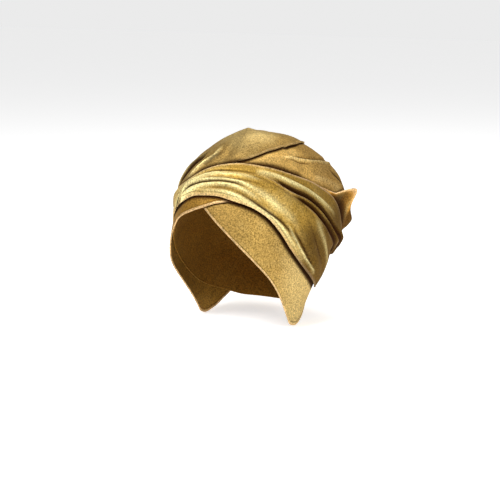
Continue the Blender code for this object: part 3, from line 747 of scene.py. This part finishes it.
WINDING_TONES = ((0.39, 0.236, 0.044), (0.86, 0.74, 0.35), (0.034, 0.010, 0.002))
WINDING_FOLDS = (
    ("kind", "depth", "width", "line"),
    ("crease", 0.0013, 0.0017, (
        (-24, 45.5, 0), (-20.7, 48.3, 0.6), (-13.3, 52.4, 0.8), (-3.6, 56, 1), (3.8, 57.4, 1),
        (14.3, 57.8, 1), (24.5, 57.6, 0.8), (34.2, 56.7, 0.7), (41.6, 55.3, 0.4), (50, 53, 0))),
    ("crease", 0.0011, 0.0015, (
        (-19, 46.5, 0), (-11.7, 50.3, 0.6), (-5.5, 52, 0.9), (9, 53, 1), (25.6, 52, 1),
        (34, 51.4, 0.8), (44, 49.2, 0.6), (52, 46.3, 0))),
    ("crease", 0.0022, 0.0016, (
        (-34, 33, 0.4), (-29.2, 37.3, 0.9), (-25.5, 41, 1), (-18.2, 46.2, 1), (-8.9, 49.3, 1),
        (7.4, 51.2, 1), (19.7, 50.3, 1), (25.9, 49.2, 0.7), (34, 46.5, 0))),
    ("crease", 0.0022, 0.0018, (
        (-40, 29, 0.5), (-34.5, 35, 1), (-30, 41, 1), (-24.5, 45.8, 0.6), (-19, 49, 0))),
    ("crease", 0.0010, 0.0034, (
        (-8, 45, 0), (3.7, 46.8, 0.8), (11.5, 47.2, 1), (20, 46.1, 0.8), (27, 44.2, 0))),
    ("crease", 0.0022, 0.0022, (
        (20, 46, 0), (26.4, 44.2, 0.5), (33.9, 41.1, 0.8), (41.2, 37.7, 1), (48.3, 33.8, 1),
        (55.5, 29.5, 1), (60, 25.8, 0.9), (64, 21.4, 0.7), (68, 15.5, 0.5), (75, 6, 0))),
    ("ridge", 0.0014, 0.0028, (
        (-6, 44.6, 0.2), (1.2, 45.1, 0.5), (10.2, 44.9, 0.7), (18.7, 43.5, 0.9), (26.5, 41.6, 1),
        (34, 39.3, 1), (41.3, 36.2, 1), (48.5, 32.1, 1), (55.5, 26.2, 0.9), (60, 21, 0.7),
        (65, 14.5, 0.5), (72.5, 6.4, 0.3), (80, -3, 0))),
    ("ridge", 0.0014, 0.0021, (
        (-27.2, 39.8, 0.7), (-21.2, 45.3, 1), (-14.9, 48.7, 1), (-7.9, 50.6, 1), (7.2, 52.1, 0.9),
        (22.3, 51, 0.8), (30, 49.4, 0.8), (37.2, 47, 0.7), (46, 43, 0))),
    ("ridge", 0.0014, 0.0026, (
        (-32, 33, 0.5), (-24, 40, 1), (-16, 44.5, 1), (-5, 47.8, 0.9), (8, 49.2, 0.8),
        (20, 48.4, 0.8), (28, 46.4, 0.7), (36, 43.2, 0.5), (46, 38, 0))),
    ("ridge", 0.0016, 0.0020, (
        (-37, 33, 0.6), (-31, 39.5, 1), (-25, 44.5, 1), (-17, 49, 1), (-8, 53, 0.9), (4, 55.2, 0.7),
        (18, 55.4, 0.6), (34, 54, 0.5), (46, 51.5, 0))),
    ("ridge", 0.0018, 0.0046, (
        (32, 47, 0), (38.7, 46, 0.4), (44.7, 43.3, 0.6), (50.5, 40, 0.6), (56.3, 35.9, 0.5),
        (64, 31.2, 0.3), (72, 22, 0))),
    ("ridge", 0.0017, 0.0014, (
        (60, 27.5, 0), (63.7, 23.4, 0.4), (65, 20.7, 0.9), (68.2, 16, 1), (72.1, 10.3, 1),
        (78.7, 2.3, 1), (89.2, -7, 0.9), (96, -14, 0))),
    ("crease", 0.0026, 0.0030, (
        (66, 25, 0), (69.5, 20, 0.8), (72.4, 16.5, 1), (75.5, 12, 1), (79, 7.3, 1), (86.3, -2, 0.9),
        (94, -10, 0))),
    ("crease", 0.0018, 0.0050, (
        (78, 32, 0), (85, 23, 0.7), (91, 13, 1), (97, 3, 1), (106, -8, 0.8), (114, -16, 0))),
    ("ridge", 0.0012, 0.0036, (
        (90, 29, 0), (96, 20, 0.6), (103, 11, 0.7), (109, 2, 0.7), (115, -8, 0.5), (118, -16, 0))),
    ("crease", 0.0010, 0.0022, (
        (30, 55, 0), (34.2, 54.4, 0.5), (44.9, 53.1, 0.7), (53.5, 50.5, 0.7), (63.4, 46.5, 0.6),
        (72.1, 42.3, 0.6), (80, 36.3, 0.8), (88.8, 28.4, 0.8), (98.3, 19.4, 0.8), (106, 11, 0))),
    ("ridge", 0.0022, 0.0032, (
        (38, 57, 0), (45.7, 56.5, 0.5), (55.1, 55.1, 0.7), (66.3, 52.3, 1), (76.4, 48.7, 1),
        (84.1, 45.8, 1), (91.3, 42.7, 1), (97.4, 39.2, 1), (104.1, 35.3, 0.9), (111.1, 30.7, 0.7),
        (115.7, 26.8, 0.5), (119, 22, 0))),
    ("crease", 0.0011, 0.0018, (
        (58, 57.6, 0), (70, 54.8, 0.6), (82, 50.5, 0.8), (92, 46, 0.9), (101, 41, 0.9),
        (109, 35.5, 0.8), (117, 28.5, 0.5), (121, 23, 0))),
    ("crease", 0.0020, 0.0013, (
        (112, 19, 0), (114.6, 15.6, 0.8), (117.7, 12.9, 1), (122.2, 8.8, 1), (128.5, 3.8, 1),
        (134, 0, 0.5))),
    ("crease", 0.0030, 0.0040, (
        (-52, 29, 0.3), (-60, 23, 0.8), (-72, 15, 1), (-90, 5, 1), (-112, -3, 1), (-135, -8, 0.8),
        (-160, -12, 0.5), (-180, -14, 0))),
    ("ridge", 0.0022, 0.0050, (
        (-60, 26, 0), (-70, 18, 0.4), (-82, 11, 1), (-100, 5, 1), (-124, 0, 1), (-150, -6, 0.8),
        (-178, -10, 0))),
    ("crease", 0.0022, 0.0030, (
        (150, -14, 0), (160, -17, 0.7), (172, -18, 1), (184, -18, 1), (200, -16, 0.8),
        (222, -12, 0))),
)
LAP_DEPTH = 0.0062
LAP_WIDTH = 0.0009          # half the width of the wall between a lap's two sides
LAP_RUN = 0.0100            # how far its upper side takes to fall away
# The dark strip under a lap is painted shade
LAP_DARK = 0.0040           # width of the dark strip under a lap


def deep_lap(distance, strength):
    """Return the height, fold and hem marks of a lap whose upper side lies over its lower side.

    The upper side ends in a rounded lip and falls away over its run. The lower side sinks
    into a groove under it. Painted shade darkens the wall between them and the groove's floor,
    and more lightly the upper side just above its lip, and a painted highlight draws the lower
    side's own rim as a thin pale line.
    """
    above, below = np.maximum(distance, 0), np.maximum(-distance, 0)
    step = ease((distance + LAP_WIDTH) / (2 * LAP_WIDTH)) * np.exp(-above / LAP_RUN)
    groove = np.exp(-(below / (LAP_RUN * 0.45)) ** 1.4) * ease((LAP_WIDTH - distance) / (2 * LAP_WIDTH))
    # Painted shade on the wall and the groove's floor and, lighter, just above the lip; painted highlight
    # on the lower side's rim
    dark = LAP_DARK * (0.35 + 0.65 * strength)
    fold = ease((distance + dark) / 0.0010) * ease((0.0012 - distance) / 0.0012)
    soft = 0.45 * np.exp(-(above / 0.0035) ** 2)
    rim = np.exp(-((distance + dark + 0.0004) / 0.0007) ** 2)
    drawn = ease(strength * 1.5)
    height = LAP_DEPTH * strength * (0.40 * step - 0.60 * groove)
    return height, drawn * np.maximum(fold, soft * step), drawn * rim


def make_lower_winding():
    """Shape the lower winding: its stand above the head, two deep laps and soft pleats.

    Rows follow the two deep laps, and lie close together beside them. Painted shade darkens
    the wearer's left, which turns away from the light, low down and up by the rim. Painted
    highlights lie along the rim, the lower edge and the laps, and brighten the gather at the
    right temple, and a thin line of painted shade runs just above the lower edge.
    """
    bearing = np.linspace(-180, 180, WINDING_COLUMNS, endpoint=False)
    low, high = along(bearing, WINDING_PATH, "low"), along(bearing, WINDING_PATH, "high")
    wide = high - low
    marks = [low, low + LAP_BAND * wide]
    for deep in DEEP_FOLDS:
        share = along(bearing, deep, "share")
        marks += [low + (share - LAP_BAND) * wide, low + (share + LAP_BAND) * wide]
    latitude = bands([*marks, high], WINDING_ROWS)
    stand = winding_stand(bearing, latitude)
    points = on_head(bearing, latitude, stand)
    reach = run_up(points)
    rise, fold, crest = lay_folds(bearing, latitude, WINDING_LIFT + 0.4 * WINDING_BULK, WINDING_FOLDS)
    hem = np.zeros_like(fold)
    for deep, band in zip(DEEP_FOLDS, (2, 4)):
        row = sum(WINDING_ROWS[:band]) + WINDING_ROWS[band] // 2
        at = (reach[row] + reach[row + 1]) / 2
        lap = deep_lap(reach - at, along(bearing, deep, "depth"))
        rise, fold, hem = rise + lap[0], np.maximum(fold, lap[1]), np.maximum(hem, lap[2])
    from_rim = reach[-1] - reach
    edge_fade = ease(reach / 0.003) * ease(from_rim / 0.003)
    waves = crumple(points, scale=26, depth=0.0006, seed=3)
    # Painted highlights along the rim and the lower edge, and a line of painted shade 3 mm up from the
    # lower edge
    lip = np.exp(-(from_rim / 0.0013) ** 2) + np.exp(-(reach / 0.0015) ** 2)
    hem_inner_shade = np.exp(-((reach - 0.0032) / 0.0006) ** 2)
    # Painted shade on the wearer's left, where the cloth turns away from the light, and a painted highlight
    # at the right temple
    shaded = ease((175 - bearing) / 45)
    left_low = ease((bearing - 60) / 24) * shaded * ease((34 - latitude) / 18)
    left_high = ease((bearing - 92) / 22) * shaded * ease((latitude - 14) / 14)
    temple = ease((8 - bearing) / 34) * ease((bearing + 60) / 14)
    stand = np.maximum(stand + (rise + waves) * edge_fade, WINDING_LIFT - CONTACT)
    # The painted shade goes into the fold mark, less on crests with a painted highlight
    turned = (0.70 * left_low + 0.34 * left_high) * (1 - 0.7 * crest)
    fold = np.maximum(fold * ease(from_rim / 0.002), turned)
    # Painted highlights of the rim, the lower edge and the laps' rims
    pale = (0.45 + 0.4 * ease((bearing - 60) / 40)) * lip + 0.95 * hem
    piece = sew("lower_winding_cloth", on_head(bearing, latitude, stand),
                on_head(bearing, latitude, stand + CLOTH), velvet("lower winding velvet", *WINDING_TONES),
                {"fold": np.maximum(fold, 0.5 * hem_inner_shade), "crest": np.clip(crest * 0.95 + 0.40 * temple, 0, 1),
                 "hem": np.clip(pale, 0, 1)}, ring=True)
    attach(piece, "root")
    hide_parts("lower_winding")


make_lower_winding()


# Upper winding. The next turn of the same cloth: it comes up from inside the lower winding on
# the left and back, and goes in under the crown, with one sharp pleat and soft drawn folds.
TUCK_DROP = 0.006           # how far it dips under the layers over it
WINDING_TUCK = 7.0          # degrees that it runs down inside the lower winding's rim
DIP_WIDTH = 3.5             # degrees that its dip there takes
CROWN_TUCK = 7.0            # degrees that it runs up under the crown
LEAST_OPEN = 1.0            # least height of its open part, in degrees

# The crown's and the tail's places are needed here too, because this winding dips under them:
# the crown comes between it and the rim from one bearing round to the other, and so does the
# tail, and each change takes some degrees.
CROWN_BULK = 0.040          # the height that the stands below are shares of
CROWN_UNDER_ENDS = 60
CROWN_UNDER_STARTS = 255
CROWN_CHANGES = (30, 15)
TAIL_GAP = 0.003
TAIL_CONTACT = CLOTH + TAIL_GAP
TAIL_UNDER = (88, 182)
TAIL_CHANGES = 14
CROWN_EDGE = (
    ("bearing", "edge", "stand"),
    (-180, 57, 0.97), (-150, 50, 0.92), (-120, 40, 0.79), (-100, 30, 0.56), (-88, 20, 0.30),
    (-75, 20, 0.24), (-60, 27, 0.23), (-49, 33, 0.24), (-40, 37, 0.26), (-30, 41, 0.28),
    (-20, 46, 0.30), (-8, 54, 0.38), (0, 60, 0.42), (8, 62.5, 0.46), (18, 64.5, 0.5),
    (31, 66, 0.55), (44, 67.5, 0.60), (64, 69.5, 0.68), (86, 70.2, 0.75), (105, 69.3, 0.82),
    (125, 66, 0.88), (146, 60.5, 0.92),
)
UPPER_ENDS = (0, 276)
UPPER_COLUMNS = 330
UPPER_ROWS = (8, 66, 8)
UPPER_SHARES = (0.0, 0.25, 0.6, 1.0)
UPPER_STAND = (
    ("bearing", "first", "second", "edge"),
    (-180, 0.40, 0.46, 0.45), (-150, 0.33, 0.39, 0.43), (-120, 0.19, 0.26, 0.34),
    (-100, 0.05, 0.10, 0.17), (-86, 0, 0.01, 0.03), (-4, 0, 0, 0), (18, 0.03, 0.05, 0.08),
    (30, 0.05, 0.09, 0.13), (43, 0.08, 0.14, 0.18), (64, 0.13, 0.22, 0.25), (90, 0.19, 0.28, 0.33),
    (102, 0.28, 0.42, 0.46), (112, 0.34, 0.46, 0.48), (124, 0.47, 0.52, 0.50),
    (134, 0.61, 0.56, 0.52), (148, 0.49, 0.48, 0.44), (160, 0.48, 0.48, 0.43),
)
UPPER_TONES = ((0.56, 0.345, 0.096), (0.96, 0.72, 0.30), (0.034, 0.010, 0.002))
UPPER_FOLDS = (
    ("kind", "depth", "width", "line"),
    ("ridge", 0.0016, 0.0013, (
        (74, 64.8, 0), (85.6, 63.4, 1), (96.5, 61.9, 1), (104.8, 59.3, 0.9), (117, 54.5, 1),
        (124, 51.1, 1), (130, 47.9, 1), (138, 45, 0))),
    ("crease", 0.0018, 0.0014, (
        (82, 62.6, 0), (92, 61.2, 0.7), (104, 57.9, 0.8), (112, 54.8, 0))),
    ("crease", 0.0026, 0.0017, (
        (98, 63.2, 0), (106, 61, 0.8), (117, 56.5, 1), (124, 53.2, 1), (131, 50, 1),
        (140, 47, 0.4))),
    ("ridge", 0.0016, 0.0014, (
        (110, 49.5, 0), (113.2, 47.5, 0.5), (118.3, 44.2, 0.5), (123.1, 40.4, 0.5),
        (128.9, 35.1, 0.5), (132, 31, 0.3))),
    ("crease", 0.0016, 0.0014, (
        (108, 48.6, 0), (111.7, 46.8, 0.7), (118.4, 42.5, 0.9), (124.3, 37.8, 1), (129.5, 33.2, 1),
        (133, 29, 0.4))),
    ("crease", 0.0024, 0.0036, (
        (120, 52, 0), (127, 46, 0.6), (129, 41.5, 0.9), (131.5, 37.3, 1), (135, 32.7, 1),
        (138, 26, 0.6))),
    ("crease", 0.0020, 0.0040, (
        (150, 42, 0), (162, 36, 0.9), (176, 31, 1), (190, 28, 1), (208, 28, 0.8), (230, 32, 0))),
    ("ridge", 0.0016, 0.0050, (
        (150, 50, 0), (164, 44, 0.8), (182, 40, 1), (205, 38, 0.8), (228, 36, 0))),
    ("crease", 0.0028, 0.0040, (
        (160, 20, 0), (172, 15, 0.8), (188, 13, 1), (205, 16, 0.8), (225, 21, 0))),
)


def upper_lift(bearing, latitude):
    """Height of the upper winding's inner face above the head.

    It starts one layer below the lower winding's rim, or two where the crown or the tail
    comes between, and it dips again under the crown.
    """
    rim, edge = along(bearing, WINDING_PATH, "high"), along(bearing, CROWN_EDGE, "edge")
    way = (latitude - rim) / np.maximum(edge - rim, LEAST_OPEN)
    round_way = np.asarray(bearing, float) % 360
    crown_between = (ease((CROWN_UNDER_ENDS - round_way) / CROWN_CHANGES[0])
                     + ease((round_way - CROWN_UNDER_STARTS) / CROWN_CHANGES[1]))
    tail_between = (ease((round_way - TAIL_UNDER[0]) / TAIL_CHANGES)
                    * ease((TAIL_UNDER[1] - round_way) / TAIL_CHANGES))
    start = (rim_lift(bearing) - CONTACT * (1 + crown_between)
             - (2 * TAIL_CONTACT - CONTACT) * tail_between)
    rise = CROWN_BULK * across(bearing, np.clip(way, 0, 1), UPPER_SHARES, UPPER_STAND, 0.0)
    past_rim = ease((rim - latitude) / DIP_WIDTH)
    past_edge = ease((latitude - edge) / CROWN_TUCK)
    return start + rise - TUCK_DROP * (past_rim + past_edge)


def make_upper_winding():
    """Shape the upper winding: its height over the head with its folds laid into its open part.

    Painted shadow darkens it beside the lower winding's rim and the crown's edge, and painted
    shade darkens it all over behind the ear, where it turns away from the light.
    """
    bearing = np.linspace(*UPPER_ENDS, UPPER_COLUMNS)
    rim, edge = along(bearing, WINDING_PATH, "high"), along(bearing, CROWN_EDGE, "edge")
    edge = np.maximum(edge, rim + LEAST_OPEN)
    latitude = bands([rim - WINDING_TUCK, rim, edge, edge + CROWN_TUCK], UPPER_ROWS)
    lift = upper_lift(bearing, latitude)
    points = on_head(bearing, latitude, lift)
    rise, fold, crest = lay_folds(bearing, latitude, WINDING_LIFT + 0.5 * CROWN_BULK, UPPER_FOLDS)
    open_part = ease((latitude - rim) / 5) * ease((edge - latitude) / 5)
    lift = lift + (rise + crumple(points, scale=24, depth=0.0007, seed=5)) * open_part
    # Painted shadow beside the lower winding's rim and under the crown's edge
    rim_reach = 0.0056 - 0.0014 * ease((bearing - 60) / 30)
    shadow = np.maximum(close_by(from_edge(points, WINDING_PATH, "high", WINDING_BULK), rim_reach),
                        close_by(from_edge(points, CROWN_EDGE, "edge", 0.7 * CROWN_BULK), 0.0032))
    # Painted shade behind the ear, and painted highlights along the ridges through the crest mark
    left = 0.48 * ease((bearing - 104) / 16) * ease((180 - bearing) / 45)
    piece = sew("upper_winding_cloth", on_head(bearing, latitude, lift),
                on_head(bearing, latitude, lift + CLOTH), velvet("upper winding velvet", *UPPER_TONES),
                {"fold": np.maximum(np.maximum(fold * open_part, shadow), left + np.zeros_like(fold)),
                 "crest": np.clip(crest * 0.8 * open_part, 0, 1), "hem": np.zeros_like(fold)})
    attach(piece, "root")
    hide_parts("upper_winding")


make_upper_winding()


# Crown. The broad middle of the cloth, drawn over the top of the head from the gather at the
# right temple: a deep fold and a bright pleat rise from the gather, and a soft point is left
# where it was pulled up. Its edge lies over the upper winding on the left.
CROWN_COLUMNS = 400
CROWN_ROWS = 90
CROWN_SHARES = (0.0, 0.2, 0.45, 0.75, 1.0)
CROWN_STAND = (
    ("bearing", "first", "second", "third"),
    (-180, 0.96, 0.91, 0.87), (-150, 0.91, 0.89, 0.88), (-120, 0.77, 0.82, 0.85),
    (-100, 0.60, 0.71, 0.80), (-88, 0.44, 0.60, 0.76), (-75, 0.36, 0.53, 0.71),
    (-60, 0.34, 0.51, 0.69), (-46, 0.36, 0.50, 0.70), (-20, 0.42, 0.57, 0.76),
    (0, 0.48, 0.66, 0.83), (20, 0.66, 0.79, 0.88), (43, 0.71, 0.81, 0.88),
    (92, 0.81, 0.86, 0.91), (146, 0.94, 0.91, 0.88),
)
CROWN_TOP = 0.90            # its stand at the very top
PEAK = (-145, 82)           # bearing and latitude of the soft point
PEAK_RISE = 0.0045
PEAK_RADIUS = 0.016
RIM_SLOPE = 0.002           # how fast the crown may rise above the rim, in metres a degree
CROWN_TONES = ((0.30, 0.190, 0.056), (0.80, 0.65, 0.29), (0.028, 0.009, 0.002))
CROWN_FOLDS = (
    ("kind", "depth", "width", "line"),
    ("crease", 0.0048, 0.0060, (
        (-48.5, 40, 0.4), (-47.6, 47.5, 1), (-46.6, 51, 1), (-46, 55, 1), (-46, 57.5, 1),
        (-44.8, 60.4, 1), (-42.5, 62.7, 0.9), (-40, 64.6, 0.6), (-36, 66.8, 0))),
    ("shade", 0, 0.0058, (
        (-53, 42, 0), (-52.2, 45.5, 0.8), (-51.4, 48.4, 1), (-50.2, 51.5, 1), (-49.6, 54, 1),
        (-49.2, 57.4, 1), (-47.8, 60.2, 1), (-44.8, 62.9, 0.95), (-40.6, 66, 0.6), (-36, 69, 0))),
    ("ridge", 0.0022, 0.0030, (
        (-60, 38, 0), (-58, 46, 1), (-56, 52, 1), (-54, 58, 0.9), (-49, 64, 0.5), (-42, 69, 0))),
    ("ridge", 0.0030, 0.0024, (
        (-34, 44.5, 0), (-30.5, 48, 0.3), (-27.6, 51.8, 0.7), (-25.2, 55.7, 1), (-21.7, 59.6, 1),
        (-17.3, 63.4, 1), (-14.5, 66.5, 0.9), (-16, 70, 0.5), (-21, 73.5, 0))),
    ("crease", 0.0014, 0.0024, (
        (-22, 57, 0), (-17.6, 60.6, 0.7), (-14.5, 64.4, 1), (-10.7, 67.8, 0.8), (-9, 72, 0))),
    ("lap", 0.0050, 0.0010, (
        (-62, 32, 0.4), (-70, 38, 0.9), (-76, 46, 1), (-80, 55, 0.6), (-80, 64, 0))),
    ("crease", 0.0040, 0.0050, (
        (-74, 26, 0.3), (-88, 32, 0.8), (-102, 42, 1), (-114, 53, 0.7), (-126, 64, 0))),
    ("crease", 0.0036, 0.0060, (
        (-100, 32, 0), (-120, 42, 0.9), (-138, 53, 0.8), (-156, 64, 0))),
)


def crown_lift(bearing, latitude):
    """Height of the crown's inner face above the head, soft point included, before its folds.

    It lies one layer over the upper winding on the left, and its edge stays one layer under
    the lower winding's rim elsewhere.
    """
    edge, rim = along(bearing, CROWN_EDGE, "edge"), along(bearing, WINDING_PATH, "high")
    way = (latitude - edge) / (90 - edge)
    lift = CROWN_BULK * across(bearing, way, CROWN_SHARES, CROWN_STAND,
                               along(bearing, CROWN_EDGE, "stand"), CROWN_TOP)
    from_peak = np.linalg.norm(on_head(bearing, latitude, CROWN_BULK) - on_head(*PEAK, CROWN_BULK), axis=-1)
    lift = lift + PEAK_RISE * np.exp(-from_peak / PEAK_RADIUS)
    deepest = np.maximum(*[along(bearing, deep, "depth") for deep in DEEP_FOLDS])
    below_rim = (winding_stand(bearing, latitude) - FOLD_DEPTH * deepest - CONTACT
                 + RIM_SLOPE * np.maximum(latitude - rim, 0))
    return np.maximum(np.minimum(lift, below_rim), upper_lift(bearing, latitude) + CONTACT)


def make_crown():
    """Shape the crown: its height over the head, with folds that rise from the gather."""
    bearing = np.linspace(-180, 180, CROWN_COLUMNS, endpoint=False)
    edge, rim = along(bearing, CROWN_EDGE, "edge"), along(bearing, WINDING_PATH, "high")
    way = np.linspace(0, 1, CROWN_ROWS)[:, None] ** 1.1
    latitude = edge + (DOME_TOP - edge) * way
    lift = crown_lift(bearing, latitude)
    points = on_head(bearing, latitude, lift)
    rise, fold, crest = lay_folds(bearing, latitude, 0.6 * CROWN_BULK, CROWN_FOLDS)
    free = ease((latitude - rim - 0.5) / 5) * ease((latitude - edge) / 4)
    floor_lift = upper_lift(bearing, latitude) + CONTACT
    waves = crumple(points, scale=20, depth=0.0008, seed=11)
    lift = np.maximum(lift + (rise + waves) * free, floor_lift)
    # Painted highlight along the crown's edge, and painted shadow beside the lower winding's rim
    hem = np.exp(-((latitude - edge) / 0.6) ** 2)
    shadow = close_by(from_edge(points, WINDING_PATH, "high", WINDING_BULK), 0.0066)
    # Painted highlight over the top of the crown
    top = 0.30 * ease((latitude - 70) / 12)
    piece = sew("crown_cloth", on_head(bearing, latitude, lift), on_head(bearing, latitude, lift + CLOTH),
                velvet("crown velvet", *CROWN_TONES),
                {"fold": np.maximum(fold * free, shadow), "crest": np.clip(crest * 0.9 * free + top, 0, 1),
                 "hem": 0.15 * hem}, ring=True, domed=True)
    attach(piece, "root")
    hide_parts("crown_drape")


make_crown()


# Tail. The free end of the cloth: it is tucked down inside the lower winding's rim at the back
# left and bunched in short gathers, and one corner stands out free.
TAIL_PATH = (
    ("bearing", "high"),
    (102, 49.4), (112, 44.6), (118, 40.8), (123, 37.2), (127, 34.2), (131, 31), (134, 28.6), (139, 22.5),
    (143, 15.8), (147, 10.5), (152, 7.8), (160, 6.5), (168, 5),
)
TAIL_SHARES = (0.0, 0.3, 0.55, 0.8, 1.0)
TAIL_STAND = (
    ("bearing", "first", "second", "third", "edge"),
    (102, 0, 0, 0, 0), (112, 0, 0, 0.01, 0.02), (120, 0, 0, 0.02, 0.04),
    (128, 0, 0.02, 0.05, 0.09), (132, 0, 0.10, 0.22, 0.32), (135, 0, 0.10, 0.29, 0.46),
    (139, 0, 0.11, 0.27, 0.39), (143, 0, 0.13, 0.32, 0.44), (147, 0, 0.12, 0.29, 0.40),
    (152, 0, 0.11, 0.22, 0.29), (160, 0, 0.06, 0.12, 0.17), (168, 0, 0.02, 0.04, 0.06),
)
TAIL_COLUMNS = 180
TAIL_ROWS = (8, 44)
TAIL_CORNER = 135           # bearing of the free corner
TAIL_CORNER_SPREAD = 5
TAIL_FLARE = 0.013
TAIL_FLARE_POWER = 4
TAIL_PLEAT_PITCH = 8        # degrees from pleat to pleat
TAIL_PLEAT_LEAN = 6         # degrees that a pleat leans on its way to the free edge
TAIL_PLEAT_DEPTH = 0.0020
TAIL_TONES = ((0.66, 0.33, 0.055), (0.98, 0.72, 0.26), (0.028, 0.008, 0.002))


def make_tail():
    """Shape the tail: over the upper winding, then rising to its free edge in gathers.

    The gathers are a cosine of the bearing that leans as it rises. The corner's flare is a
    bell round its bearing times a power of the way up. Painted shade darkens it in the gathers
    and below its corner, and painted shadow where it comes out of the rim. Painted highlights
    lie on the gathers' tops and along part of its free edge.
    """
    bearing = np.linspace(TAIL_PATH[1][0], TAIL_PATH[-1][0], TAIL_COLUMNS)
    rim, high = along(bearing, WINDING_PATH, "high"), along(bearing, TAIL_PATH, "high")
    latitude = bands([rim - WINDING_TUCK, rim, high], TAIL_ROWS)
    way = np.clip((latitude - rim) / (high - rim), 0, 1)
    rise = CROWN_BULK * across(bearing, way, TAIL_SHARES, TAIL_STAND, 0.0)
    wave = np.cos(2 * np.pi * (bearing + TAIL_PLEAT_LEAN * way) / TAIL_PLEAT_PITCH)
    grown = ease((way - 0.15) / 0.4) * (1 - 0.5 * ease((way - 0.7) / 0.3))
    at_corner = np.exp(-((bearing - TAIL_CORNER) / TAIL_CORNER_SPREAD) ** 2)
    flare = TAIL_FLARE * at_corner * way ** TAIL_FLARE_POWER
    over_upper = upper_lift(bearing, latitude) + TAIL_CONTACT
    free = rim_lift(bearing) - TAIL_CONTACT + rise + TAIL_PLEAT_DEPTH * wave * grown + flare
    lift = np.where(way > 0, np.maximum(free, over_upper), over_upper)
    # Painted shade in the gathers' valleys, below the corner and where the tail comes out of the rim, and
    # painted highlights along the free edge and the gathers' tops
    valley = 0.75 * ease(-wave * 1.2) * grown
    hem = np.exp(-((1 - way) / 0.055) ** 2) * ease((141 - bearing) / 4)
    below = 0.85 * ease((bearing - 139.5) / 3) * ease((172 - bearing) / 20)
    base = close_by(from_edge(on_head(bearing, latitude, lift), WINDING_PATH, "high", WINDING_BULK),
                    0.0020 + 0.0045 * ease((bearing - 124) / 12))
    dark = np.maximum(np.maximum(valley, base), below) * (1 - 0.9 * hem)
    piece = sew("tail_cloth", on_head(bearing, latitude, lift), on_head(bearing, latitude, lift + CLOTH),
                velvet("tail velvet", *TAIL_TONES),
                {"fold": np.clip(dark, 0, 1), "crest": np.clip(ease(wave) * grown * 0.5, 0, 1),
                 "hem": 0.85 * hem})
    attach(piece, "root")
    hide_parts("tail_end")


make_tail()
